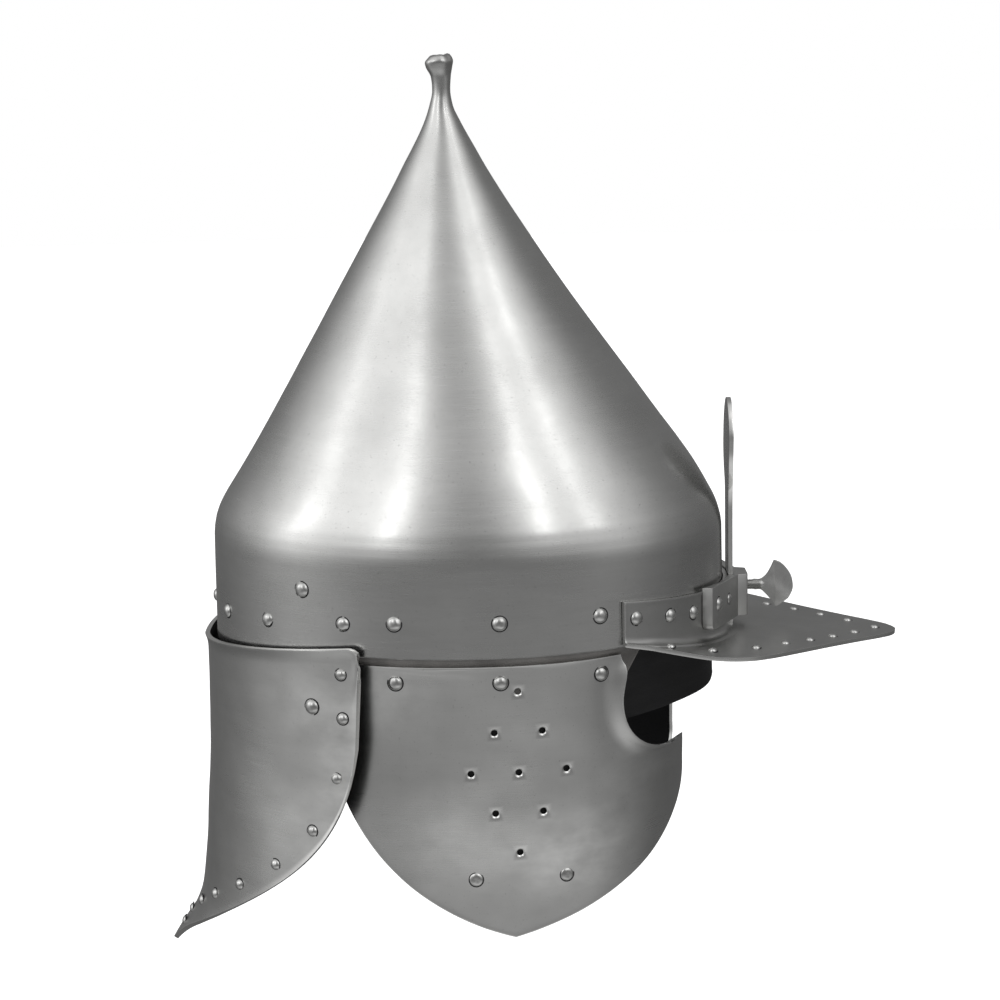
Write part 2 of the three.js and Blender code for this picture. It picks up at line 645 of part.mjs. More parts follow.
function screwSolid() {
  const tip = BAR.back + BAR.thick + GAP;
  const long = SCREW.stem - tip;
  const profile = [[0, 0], [SCREW.radius, 0], [SCREW.radius, long - 1], [SCREW.radius * 0.7, long + 2], [0, long + 2]];
  const stem = lathe(profile, 12).rotateX(Math.PI / 2).translate(0, -tip, SCREW.up);
  const wing = new THREE.Shape();
  const { tipFore, halfHeight, outerFore } = WING;
  wing.moveTo(SCREW.stem - 2.5, -2);
  wing.quadraticCurveTo(tipFore - 2.5, -3.2, tipFore - 1.2, -halfHeight);
  wing.quadraticCurveTo(outerFore - 1, -halfHeight + 4, outerFore, 0);
  wing.quadraticCurveTo(outerFore - 1, halfHeight - 4, tipFore - 1.2, halfHeight);
  wing.quadraticCurveTo(tipFore - 2.5, 3.2, SCREW.stem - 2.5, 2);
  const flat = new THREE.ExtrudeGeometry(wing, { depth: SCREW.wingThick, bevelEnabled: false, curveSegments: 8 });
  flat.translate(0, 0, -SCREW.wingThick / 2);
  flat.applyMatrix4(new THREE.Matrix4().set(0, 0, -1, 0, -1, 0, 0, 0, 0, 1, 0, SCREW.up, 0, 0, 0, 1));
  return joined([stem, flat]);
}

// Where each rivet sits, which way it faces and how long its shank is
function rivetPlaces() {
  const list = [];
  const hands = [{ name: 'right', sign: 1 }, { name: 'left', sign: -1 }];
  const add = (name, size, spot, shank, cuts) => hands.forEach(({ name: hand, sign }) => {
    const flip = new THREE.Vector3(sign, 1, 1);
    const point = spot.point.clone().multiply(flip);
    list.push({ name: `${name}_${hand}`, size, point, normal: spot.normal.clone().multiply(flip), shank, cuts, hand });
  });
  const onStrap = SHEET + WALL_PLAY + STRAP.thick;
  STRAP_RIVET_FORES.forEach((fore, i) => {
    const high = wallAt(skullWall(STRAP_RIVET_UPS.skull), fore, STRAP_RIVET_UPS.skull);
    const low = wallAt(CHEEK, fore, STRAP_RIVET_UPS.guard, SHEET / 2);
    add(`cheek_strap_skull_rivet_${i + 1}`, STRAP_RIVET, high, onStrap, ['skull', 'cheek_strap']);
    add(`cheek_strap_guard_rivet_${i + 1}`, STRAP_RIVET, low, onStrap, ['cheek', 'cheek_strap']);
  });
  const { skull, guard } = NECK_STRAP_RIVETS;
  const high = turnAt(skullWall(skull.up), skull.turn, skull.up);
  add('neck_strap_skull_rivet', STRAP_RIVET, high, onStrap, ['skull', 'neck_strap']);
  const low = neckPoint(guard.turn, guard.up, SHEET / 2);
  add('neck_strap_guard_rivet', STRAP_RIVET, low, onStrap, ['neck', 'neck_strap']);
  BAND_RIVETS.forEach(({ turn, up }, i) => {
    const spot = turnAt(skullWall(up), turn, up);
    add(`band_rivet_${i}`, RIVET, spot, onStrap, ['skull']);
  });
  const flange = { halfLength: FLANGE_FACE, halfWidth: FLANGE_FACE * WIDTH_RATIO, power: 2, lean: 0 };
  FLANGE_RIVETS.forEach(({ fore, up }, i) => {
    add(`visor_rivet_${i + 1}`, RIVET, wallAt(flange, fore, up, 0), 2 * SHEET + GAP, ['skull', 'visor']);
  });
  BRACKET_RIVETS.forEach(({ side, up }, i) => {
    const spanSide = BRACKET.end + 1 - (BOSS.halfWidth + 1.2);
    const slope = (BRACKET.middleFore - BRACKET.endFore) / spanSide;
    const point = place(BRACKET.endFore + (BRACKET.end + 1 - side) * slope, side, up);
    const normal = place(1, slope, 0).normalize();
    const flangeFore = FLANGE_FACE * Math.sqrt(1 - (side / (FLANGE_FACE * WIDTH_RATIO)) ** 2);
    const shank = -point.y - flangeFore + 2 * SHEET + GAP;
    add(`bracket_rivet_${i + 1}`, RIVET, { point, normal }, shank, ['skull', 'visor', 'bracket']);
  });
  return list.filter(({ name }) => name !== 'band_rivet_0_left');
}

// Assembly
const rivets = rivetPlaces();
const holesFor = (label, hand) => rivets
  .filter((one) => one.cuts.includes(label) && (!hand || one.hand === hand))
  .map((one) => rivetHole(one.size, one.point, one.normal, one.shank + 4));

function visorSolid() {
  const slot = new THREE.BoxGeometry(2 * BAR.halfWidth + 1, BAR.thick + 0.6, 12);
  slot.translate(0, -BAR.back - BAR.thick / 2, -8.5);
  const heads = [...BRIM_RIVETS.flatMap((row) => [row, { ...row, side: -row.side }]), { fore: BRIM_TIP_RIVET, side: 0 }]
    .map(({ fore, side }) => rivetHead(BRIM_RIVET, place(fore, side, brimUp(fore)), new THREE.Vector3(0, 0, 1)));
  return without(joined([visorGeometry(), ...heads]), [slot, ...holesFor('visor')]);
}

const helmet = new THREE.Group();
function add(name, body, finish) {
  const mesh = new THREE.Mesh(geometryOf(body), new THREE.MeshStandardMaterial(finish));
  mesh.name = name;
  helmet.add(mesh);
}

add('skull', without(solid(skullGeometry()), holesFor('skull')), STEEL);
add('visor', visorSolid(), STEEL);
add('nasal_bracket', without(bracketSolid(), [screwBore(), ...holesFor('bracket')]), STEEL);
add('nasal_bar', barSolid(), STEEL);
add('wing_screw', screwSolid(), BRIGHT);
add('neck_guard', without(neckGuard(), holesFor('neck')), STEEL);
add('liner', solid(linerGeometry()), LINING);

const cheek = without(cheekGuard(), holesFor('cheek', 'right'));
const pairs = [
  ['cheek_guard', cheek, STEEL],
  ['cheek_strap', without(cheekStrap(), holesFor('cheek_strap', 'right')), LEATHER],
  ['neck_strap', without(neckStrap(), holesFor('neck_strap', 'right')), LEATHER],
  ['cheek_lining', cheekLining(), LINING],
];
pairs.forEach(([name, body, finish]) => {
  add(`${name}_right`, body, finish);
  add(`${name}_left`, solid(mirrored(geometryOf(body))), finish);
});

rivets.forEach(({ name, size, point, normal, shank }) => {
  add(name, solid(rivet(size, point, normal, shank)), BRIGHT);
});

export default helmet;
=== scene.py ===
import math

import bmesh
import bpy
from bpy.props import FloatProperty, FloatVectorProperty, IntProperty, PointerProperty
from mathutils import Matrix, Vector, kdtree, noise

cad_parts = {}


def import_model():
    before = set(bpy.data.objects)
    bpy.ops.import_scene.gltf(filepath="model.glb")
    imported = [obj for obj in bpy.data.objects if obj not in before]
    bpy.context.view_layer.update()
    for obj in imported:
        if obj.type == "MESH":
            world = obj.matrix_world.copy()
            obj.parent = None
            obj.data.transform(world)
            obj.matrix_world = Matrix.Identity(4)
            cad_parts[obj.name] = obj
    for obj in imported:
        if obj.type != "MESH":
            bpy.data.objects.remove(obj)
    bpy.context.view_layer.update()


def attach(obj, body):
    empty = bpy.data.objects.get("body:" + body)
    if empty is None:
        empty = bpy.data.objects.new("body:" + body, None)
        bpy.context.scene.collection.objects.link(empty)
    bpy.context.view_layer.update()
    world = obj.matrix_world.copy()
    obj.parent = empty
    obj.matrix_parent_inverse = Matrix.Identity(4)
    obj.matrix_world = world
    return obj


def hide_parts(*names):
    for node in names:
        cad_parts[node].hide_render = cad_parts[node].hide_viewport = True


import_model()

bl_info = {
    "name": "Shishak helmet",
    "version": (1, 0, 0),
    "blender": (4, 5, 0),
    "location": "View3D > Sidebar > Helmet",
    "description": "Builds the steel plates, rivets, straps and lining of a shishak helmet",
    "category": "Object",
}

MM = 0.001

# Skull outline seen from the side, in millimetres: height, reach to the back, reach to the front
SKULL_ROWS = [
    (0, 116.8, 116.8), (40, 116.5, 116.5), (47, 115.5, 115.1), (52, 113.8, 113.3),
    (57, 111.2, 110.7), (63, 107.4, 107.4), (70, 102.9, 103.2), (80, 96.6, 96.3), (92, 89.6, 87.4),
    (110, 79.3, 74.6), (150, 56.7, 45.9), (196, 30.8, 15.7), (206, 25.6, 9.8), (213, 21.7, 6.0),
    (219, 18.5, 2.7), (225, 15.8, -0.4), (231, 13.8, -3.1), (238, 12.3, -4.2), (244, 12.6, -3.8),
    (248, 14.2, -3.1), (251, 14.7, -2.6), (253.2, 13.2, -3.6),
]
SKULL_TOP = 254
WIDTH_RATIO = 0.86
BAND_TOP = 50
TUBE_BOTTOM = 235
HOLLOW_TOP = 208

# Walls that the plates follow: half-length, half-width, roundness, lean outwards below the rim
CHEEK_WALL = {"length": 100.5, "width": 97, "power": 2.2, "lean": 0.07}
NECK_WALL = {"length": 120.4, "width": 103.6}
NECK_FLARE = [(-157, 22), (-140, 11.2), (-128, 6.8), (-116, 5), (-95, 3.2), (-40, 0.3), (10, 0)]
NECK_SPAN = 67
FLANGE_FACE = 118.8
GAP = 0.3
SHEET = 1.5
HALF_SHEET = 0.75
HALF_LEATHER = 1
HANDS = ((1, "right"), (-1, "left"))

# Places of the rivets, the same as the solids have
BAND_RIVETS = [(0, 9), (22, 9.6), (41, 11.6), (62.5, 14.2)]
FLANGE_RIVETS = [(73, 12.6), (88.5, 10.6), (99.5, 9)]
BRACKET_RIVETS = [(42.3, 9.7), (24.4, 8)]
STRAP_RIVET_FORES = [-31.6, 13.5, 57]
STRAP_RIVET_UPS = (15.5, -11.2)
NECK_STRAP_RIVETS = ((52, 27.6), (55.6, -22.9))
CHEEK_LOW_RIVETS = [(1.4, -101), (41, -101.3)]
BRIM_RIVETS = [(88, 73.5), (107, 66), (127.5, 52.3), (141.8, 40.7), (153.9, 31.9), (165.4, 22.5), (176.8, 12)]
BRIM_TIP_RIVET = 187.8
NECK_RIVETS = [
    (62.9, -7.2), (63.1, -26.7), (61.4, -53.7), (55.5, -78.4), (45.4, -96.9), (33.1, -111.5), (20.9, -122.4),
    (10.3, -131.8),
]
NECK_TAIL_RIVETS = [-142.5, -148.5]

# Bright patches painted into the steel's colour as painted reflections: fore, up, half-length, half-height,
# strength
CHEEK_PAINTED_SHEEN = [
    (-45, -12, 26, 20, 0.8), (44, -92, 30, 20, 0.95), (-12, -82, 22, 20, 0.55), (72, -58, 14, 20, 0.35),
]
NECK_PAINTED_SHEEN = [(-50, -46, 15, 34, 1.0), (-62, -84, 20, 20, 0.7), (-72, -20, 16, 16, 0.4)]


def place(fore, side, up):
    """A point given towards the face, the wearer's right and up, in millimetres."""
    return Vector((-side, -fore, up)) * MM


def lerp(a, b, share):
    return a + (b - a) * share


def clamp(value, low=0.0, high=1.0):
    return max(low, min(high, value))


def smooth(value, low, high):
    share = clamp((value - low) / (high - low))
    return share * share * (3 - 2 * share)


def along(rows, at, column):
    """A column of a table at a height, on a smooth curve through its rows."""
    at = clamp(at, rows[0][0], rows[-1][0])
    i = next(k for k in range(len(rows) - 1) if at <= rows[k + 1][0])

    def slope(k):
        if k in (0, len(rows) - 1):
            a, b = (0, 1) if k == 0 else (k - 1, k)
            return (rows[b][column] - rows[a][column]) / (rows[b][0] - rows[a][0])
        before = (rows[k][column] - rows[k - 1][column]) / (rows[k][0] - rows[k - 1][0])
        after = (rows[k + 1][column] - rows[k][column]) / (rows[k + 1][0] - rows[k][0])
        if before * after <= 0:
            return 0.0
        return 2 * before * after / (before + after)

    step = rows[i + 1][0] - rows[i][0]
    t = (at - rows[i][0]) / step
    low, high = rows[i][column], rows[i + 1][column]
    return (
        low * (2 * t ** 3 - 3 * t ** 2 + 1)
        + high * (3 * t ** 2 - 2 * t ** 3)
        + step * (slope(i) * (t ** 3 - 2 * t ** 2 + t) + slope(i + 1) * (t ** 3 - t ** 2))
    )


def skull_section(up):
    """Centre, half-length and half-width of the skull's outer face at a height."""
    back, front = along(SKULL_ROWS, up, 1), along(SKULL_ROWS, up, 2)
    roundness = clamp((up - BAND_TOP) / (TUBE_BOTTOM - BAND_TOP))
    half = (back + front) / 2
    return (front - back) / 2, half, half * lerp(WIDTH_RATIO, 1, roundness)


def wall_at(wall, fore, up, out=0.0):
    """Point and outward direction on an upright wall, from its place towards the face."""
    length, width, power = wall["length"], wall["width"], wall.get("power", 2)
    reach = min(abs(fore) / length, 0.9999)
    side = width * (1 - reach ** power) ** (1 / power)
    slope = Vector((
        math.copysign(reach ** (power - 1) / length, fore),
        (side / width) ** (power - 1) / width,
    )).normalized()
    lean = wall.get("lean", 0) * max(0, -up)
    normal = Vector((-slope.y, -slope.x, 0))
    return place(fore, side - lean, up) + normal * out * MM, normal


def turn_at(wall, turn, up, out=0.0, grow=0.0):
    """The same, from the turn in degrees that starts at the back."""
    angle = math.radians(turn)
    length, width = wall["length"] + grow, wall["width"] + grow
    slope = Vector((math.cos(angle) / length, math.sin(angle) / width)).normalized()
    normal = Vector((-slope.y, slope.x, 0))
    point = place(-length * math.cos(angle), width * math.sin(angle), up)
    return point + normal * out * MM, normal


def skull_wall(up, inset=0.0):
    _, length, width = skull_section(up)
    return {"length": length - inset, "width": width - inset}


def dent(point, size, depth):
    """Soft unevenness of hammered sheet: size is the width of a dent, both in millimetres."""
    return noise.noise(point / (size * MM)) * depth


# Mesh helpers
def spun(bm, points, steps, centre=(0, 0, 0), axis=(0, 0, 1)):
    """Turns a line of points into a surface round an axis."""
    chain = [bm.verts.new(point) for point in points]
    edges = [bm.edges.new(pair) for pair in zip(chain, chain[1:])]
    bmesh.ops.spin(
        bm, geom=chain + edges, cent=centre, axis=axis, angle=math.tau, steps=steps, use_merge=True,
    )
    bmesh.ops.remove_doubles(bm, verts=bm.verts, dist=2e-6)


def block(points, depth):
    """A solid block: a closed outline carried along a vector."""
    bm = bmesh.new()
    face = bm.faces.new([bm.verts.new(point) for point in points])
    made = bmesh.ops.extrude_face_region(bm, geom=[face])["geom"]
    bmesh.ops.translate(bm, vec=depth, verts=[v for v in made if isinstance(v, bmesh.types.BMVert)])
    bmesh.ops.recalc_face_normals(bm, faces=bm.faces)
    return bm


def sharp_edges(bm, degrees):
    return [e for e in bm.edges if e.is_manifold and e.calc_face_angle() > math.radians(degrees)]


def round_edges(bm, edges, width, segments=3):
    bmesh.ops.bevel(
        bm, geom=edges, offset=width * MM, offset_type="OFFSET", segments=segments,
        profile=0.5, affect="EDGES", material=-1, clamp_overlap=True,
    )


# Objects
def finish_mesh(name, bm, materials, smooth_angle=math.radians(40)):
    """A mesh object at the origin from a bmesh, shaded smooth with sharp corners kept."""
    mesh = bpy.data.meshes.new(name)
    bm.to_mesh(mesh)
    bm.free()
    for material in materials:
        mesh.materials.append(material)
    mesh.shade_smooth()
    mesh.set_sharp_from_angle(angle=smooth_angle)
    obj = bpy.data.objects.new(name, mesh)
    bpy.context.scene.collection.objects.link(obj)
    return obj


def belong(obj, body, slot, *nodes):
    """The piece moves with a body and stands for solids; slot is not used."""
    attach(obj, body)
    if nodes:
        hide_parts(*nodes)
    return obj


def painted_sheen(obj, spots):
    """Marks the brighter areas that are painted reflections: each has a centre, a half-length, a half-height
    and a strength.
    """
    sheen_marks = obj.data.attributes.new("painted_sheen", "FLOAT", "POINT")
    values = []
    for vert in obj.data.vertices:
        total = 0.0
        for fore, up, long, tall, amount in spots:
            away = ((-vert.co.y / MM - fore) / long) ** 2 + ((vert.co.z / MM - up) / tall) ** 2
            total += amount * math.exp(-away)
        values.append(clamp(total))
    sheen_marks.data.foreach_set("value", values)


def rim_share(bm, reach):
    """How near each vertex is to an open border, 1 at the border and 0 past the reach."""
    border = [v for v in bm.verts if v.is_boundary]
    tree = kdtree.KDTree(len(border))
    for i, vert in enumerate(border):
        tree.insert(vert.co, i)
    tree.balance()
    return [clamp(1 - tree.find(v.co)[2] / (reach * MM)) for v in bm.verts]


def sheet_metal(obj, shares, thick, rim_thick, bevel, inner_slot=0):
    """Gives a single skin its thickness, fuller along the rim, with softened edges."""
    group = obj.vertex_groups.new(name="rim")
    for i, share in enumerate(shares):
        group.add([i], smooth(share, 0.45, 1), "REPLACE")
    worn = obj.data.attributes.new("edge_wear_and_highlight", "FLOAT", "POINT")
    worn.data.foreach_set("value", shares)
    skin = obj.modifiers.new("thickness", "SOLIDIFY")
    skin.thickness = rim_thick * MM
    skin.offset = 0
    skin.use_quality_normals = True
    skin.vertex_group = "rim"
    skin.thickness_vertex_group = thick / rim_thick
    skin.material_offset = inner_slot
    skin.material_offset_rim = 0
    edge = obj.modifiers.new("soft_edges", "BEVEL")
    edge.width = bevel * MM
    edge.segments = 3
    edge.limit_method = "ANGLE"
    edge.angle_limit = math.radians(50)
    edge.profile = 0.5
    edge.harden_normals = False


def plate(name, bm, materials, reach, thicks, sheen_marks=()):
    """A sheet piece from its skin. thicks holds the sheet's thickness, the rim's thickness and the bevel."""
    shares = rim_share(bm, reach)
    obj = finish_mesh(name, bm, materials)
    if sheen_marks:
        painted_sheen(obj, sheen_marks)
    sheet_metal(obj, shares, *thicks, inner_slot=len(materials) - 1)
    return obj


# Node helpers for the finishes
def node(tree, kind, **values):
    made = tree.nodes.new(kind)
    for key, value in values.items():
        if key.startswith("in_"):
            made.inputs[key[3:].replace("_", " ")].default_value = value
        else:
            setattr(made, key, value)
    return made


def math_node(tree, operation, a, b=None, c=None):
    made = tree.nodes.new("ShaderNodeMath")
    made.operation = operation
    for socket, value in zip(made.inputs, (a, b, c)):
        if value is None:
            continue
        if isinstance(value, (int, float)):
            socket.default_value = value
        else:
            tree.links.new(value, socket)
    return made.outputs[0]


def new_group(name, inputs, outputs):
    """A shader node group with named inputs and outputs."""
    tree = bpy.data.node_groups.new(name, "ShaderNodeTree")
    for label, kind, value in inputs:
        socket = tree.interface.new_socket(name=label, in_out="INPUT", socket_type=kind)
        if value is not None:
            socket.default_value = value
    for label, kind in outputs:
        tree.interface.new_socket(name=label, in_out="OUTPUT", socket_type=kind)
    return tree, tree.nodes.new("NodeGroupInput"), tree.nodes.new("NodeGroupOutput")


def noise_on(tree, vector, scale, detail=3.0, roughness=0.5):
    made = node(tree, "ShaderNodeTexNoise", in_Scale=scale, in_Detail=detail, in_Roughness=roughness)
    tree.links.new(vector, made.inputs["Vector"])
    return made.outputs["Fac"]


def stretched(tree, vector, scale):
    """The coordinates scaled unevenly, so that a pattern runs along one way."""
    made = node(tree, "ShaderNodeMapping", vector_type="POINT")
    made.inputs["Scale"].default_value = scale
    tree.links.new(vector, made.inputs["Vector"])
    return made.outputs["Vector"]


def brushed_group():
    """Fine grain that runs round the helmet, as a grinding belt leaves it."""
    found = bpy.data.node_groups.get("brushed_grain")
    if found:
        return found
    tree, start, end = new_group(
        "brushed_grain",
        [("Vector", "NodeSocketVector", None), ("Amount", "NodeSocketFloat", 1.0)],
        [("Height", "NodeSocketFloat"), ("Tone", "NodeSocketFloat")],
    )
    fine = noise_on(tree, stretched(tree, start.outputs["Vector"], (1, 1, 34)), 70, 4, 0.65)
    broad = noise_on(tree, stretched(tree, start.outputs["Vector"], (1, 1, 9)), 26, 3, 0.55)
    both = math_node(tree, "MULTIPLY_ADD", fine, 0.6, math_node(tree, "MULTIPLY", broad, 0.4))
    level = math_node(tree, "SUBTRACT", both, 0.5)
    scaled = math_node(tree, "MULTIPLY", level, start.outputs["Amount"])
    tree.links.new(scaled, end.inputs["Height"])
    tree.links.new(math_node(tree, "ADD", scaled, 0.5), end.inputs["Tone"])
    return tree


def mottle_group():
    """Cloudy patches where the polish differs, and soft hollows left by the hammer."""
    found = bpy.data.node_groups.get("hammer_mottle")
    if found:
        return found
    tree, start, end = new_group(
        "hammer_mottle",
        [("Vector", "NodeSocketVector", None), ("Size", "NodeSocketFloat", 22.0)],
        [("Patches", "NodeSocketFloat"), ("Hollows", "NodeSocketFloat"), ("Specks", "NodeSocketFloat")],
    )
    cloud = node(tree, "ShaderNodeTexNoise", in_Detail=4.0, in_Roughness=0.55)
    hollow = node(tree, "ShaderNodeTexNoise", in_Detail=1.0, in_Roughness=0.4)
    speck = node(tree, "ShaderNodeTexNoise", in_Detail=2.0, in_Scale=900.0)
    for made in (cloud, hollow):
        tree.links.new(start.outputs["Vector"], made.inputs["Vector"])
        tree.links.new(start.outputs["Size"], made.inputs["Scale"])
    tree.links.new(start.outputs["Vector"], speck.inputs["Vector"])
    ramp = node(tree, "ShaderNodeMapRange", in_From_Min=0.35, in_From_Max=0.65)
    tree.links.new(cloud.outputs["Fac"], ramp.inputs["Value"])
    dots = node(tree, "ShaderNodeMapRange", in_From_Min=0.66, in_From_Max=0.74)
    tree.links.new(speck.outputs["Fac"], dots.inputs["Value"])
    tree.links.new(ramp.outputs["Result"], end.inputs["Patches"])
    tree.links.new(hollow.outputs["Fac"], end.inputs["Hollows"])
    tree.links.new(dots.outputs["Result"], end.inputs["Specks"])
    return tree


def wear_and_highlight_group():
    """Edges rubbed bright, and along the wing screw's rim a painted highlight, broken up so that the line
    isn't even.
    """
    found = bpy.data.node_groups.get("edge_wear_and_highlight")
    if found:
        return found
    tree, start, end = new_group(
        "edge_wear_and_highlight",
        [("Vector", "NodeSocketVector", None), ("Sharpness", "NodeSocketFloat", 0.75)],
        [("Mask", "NodeSocketFloat")],
    )
    near = node(tree, "ShaderNodeAttribute", attribute_name="edge_wear_and_highlight")
    uneven = math_node(tree, "MULTIPLY", noise_on(tree, start.outputs["Vector"], 160, 2), 0.3)
    level = math_node(tree, "ADD", near.outputs["Fac"], math_node(tree, "SUBTRACT", uneven, 0.15))
    ramp = node(tree, "ShaderNodeMapRange", interpolation_type="SMOOTHSTEP")
    ramp.inputs["From Max"].default_value = 1.0
    tree.links.new(level, ramp.inputs["Value"])
    tree.links.new(start.outputs["Sharpness"], ramp.inputs["From Min"])
    tree.links.new(ramp.outputs["Result"], end.inputs["Mask"])
    return tree


def grouped(tree, group, vector, **values):
    made = tree.nodes.new("ShaderNodeGroup")
    made.node_tree = group
    tree.links.new(vector, made.inputs["Vector"])
    for key, value in values.items():
        made.inputs[key].default_value = value
    return made


def start_material(name):
    made = bpy.data.materials.get(name)
    if made:
        return made, None, None, None
    made = bpy.data.materials.new(name)
    made.use_nodes = True
    tree = made.node_tree
    shader = next(n for n in tree.nodes if n.type == "BSDF_PRINCIPLED")
    vector = tree.nodes.new("ShaderNodeTexCoord").outputs["Object"]
    return made, tree, shader, vector


def colour_mix(tree, factor, first, second):
    made = tree.nodes.new("ShaderNodeMix")
    made.data_type = "RGBA"
    for socket, value in ((made.inputs[0], factor), (made.inputs[6], first), (made.inputs[7], second)):
        if hasattr(value, "links"):
            tree.links.new(value, socket)
        elif isinstance(value, (int, float)):
            socket.default_value = value
        else:
            socket.default_value = (*value[:3], 1)
    return made.outputs[2]


def shade(colour, factor):
    return [min(1, c * factor) for c in colour]


def add_bump(tree, shader, height, strength, distance):
    bump = node(tree, "ShaderNodeBump", in_Strength=strength, in_Distance=distance)
    tree.links.new(height, bump.inputs["Height"])
    tree.links.new(bump.outputs["Normal"], shader.inputs["Normal"])


def steel(name, tint=1.0, roughness=0.3, grain=1.0, mottle=1.0, wear=1.0):
    """Satin steel: base colour, roughness and bump all vary with grain, patches and rubbed edges. Its colour
    is also lifted by painted reflections where they are marked, and by a painted highlight along the wing
    screw's rim.
    """
    look = bpy.context.scene.helmet_look
    made, tree, shader, vector = start_material(name)
    if tree is None:
        return made
    base = [c * tint for c in look.steel]
    brushed = grouped(tree, brushed_group(), vector, Amount=grain)
    patches = grouped(tree, mottle_group(), vector, Size=20.0)
    rubbed = grouped(tree, wear_and_highlight_group(), vector, Sharpness=0.8)
    clouded, lines = patches.outputs["Patches"], brushed.outputs["Tone"]
    dull = colour_mix(tree, clouded, shade(base, 1 - 0.24 * mottle), shade(base, 1.1))
    lined = colour_mix(tree, lines, shade(base, 1 - 0.16 * grain), shade(base, 1.06))
    body = colour_mix(tree, 0.5, dull, lined)
    specks = math_node(tree, "MULTIPLY", patches.outputs["Specks"], 0.35)
    spotted = colour_mix(tree, specks, body, shade(base, 0.45))
    # Worn edges are painted brighter; along the wing screw's rim this is also a painted highlight.
    worn = math_node(tree, "MULTIPLY", rubbed.outputs["Mask"], wear)
    edged = colour_mix(tree, worn, spotted, shade(base, 1.35))
    cloud = node(tree, "ShaderNodeMapRange", in_From_Min=0.3, in_From_Max=0.7, in_To_Min=0.35, in_To_Max=1.1)
    tree.links.new(noise_on(tree, stretched(tree, vector, (1, 1, 1.6)), 48, 3, 0.6), cloud.inputs["Value"])
    # Painted reflections: where the marked patches are, the steel's colour is lifted towards a bright tone,
    # broken up by the cloud above.
    sheen_attribute = node(tree, "ShaderNodeAttribute", attribute_name="painted_sheen")
    polish = math_node(tree, "MULTIPLY", sheen_attribute.outputs["Fac"], cloud.outputs["Result"])
    with_painted_sheen = colour_mix(tree, polish, edged, [min(0.97, c * 1.6) for c in base])
    tree.links.new(with_painted_sheen, shader.inputs["Base Color"])
    shader.inputs["Metallic"].default_value = 1.0
    rough = math_node(tree, "MULTIPLY_ADD", clouded, -0.07 * mottle, roughness + 0.04 * mottle)
    rough = math_node(tree, "MULTIPLY_ADD", brushed.outputs["Height"], 0.18, rough)
    rough = math_node(tree, "MULTIPLY_ADD", rubbed.outputs["Mask"], -0.1 * wear, rough)
    tree.links.new(rough, shader.inputs["Roughness"])
    hollows = math_node(tree, "MULTIPLY", patches.outputs["Hollows"], 5.0 * mottle)
    height = math_node(tree, "ADD", hollows, brushed.outputs["Height"])
    add_bump(tree, shader, height, 1.0, look.grain_depth)
    return made


def blackened(name):
    """The inside of the plates, coloured near black with cloudy patches and left dull."""
    look = bpy.context.scene.helmet_look
    made, tree, shader, vector = start_material(name)
    if tree is None:
        return made
    patches = grouped(tree, mottle_group(), vector, Size=45.0)
    clouded = patches.outputs["Patches"]
    tone = colour_mix(tree, clouded, look.lining, shade(look.lining, 2.2))
    tree.links.new(tone, shader.inputs["Base Color"])
    tree.links.new(math_node(tree, "MULTIPLY_ADD", clouded, 0.2, 0.6), shader.inputs["Roughness"])
    add_bump(tree, shader, noise_on(tree, vector, 800, 3), 0.4, 0.0002)
    return made


def leather(name, colour, pebble=1.0):
    """Leather: pebbled grain, creases, and edges rubbed lighter."""
    made, tree, shader, vector = start_material(name)
    if tree is None:
        return made
    cells = node(tree, "ShaderNodeTexVoronoi", in_Scale=900.0)
    cells.feature = "DISTANCE_TO_EDGE"
    tree.links.new(vector, cells.inputs["Vector"])
    folds = noise_on(tree, stretched(tree, vector, (1, 1, 3)), 60, 4)
    patches = grouped(tree, mottle_group(), vector, Size=50.0)
    rubbed = grouped(tree, wear_and_highlight_group(), vector, Sharpness=0.5)
    tone = colour_mix(tree, patches.outputs["Patches"], shade(colour, 0.6), colour)
    worn = math_node(tree, "MULTIPLY", rubbed.outputs["Mask"], 0.5)
    edged = colour_mix(tree, worn, tone, shade(colour, 1.9))
    tree.links.new(edged, shader.inputs["Base Color"])
    tree.links.new(math_node(tree, "MULTIPLY_ADD", folds, 0.3, 0.5), shader.inputs["Roughness"])
    height = math_node(tree, "MULTIPLY_ADD", cells.outputs["Distance"], 1.2 * pebble, folds)
    add_bump(tree, shader, height, 0.6, 0.0003)
    return made


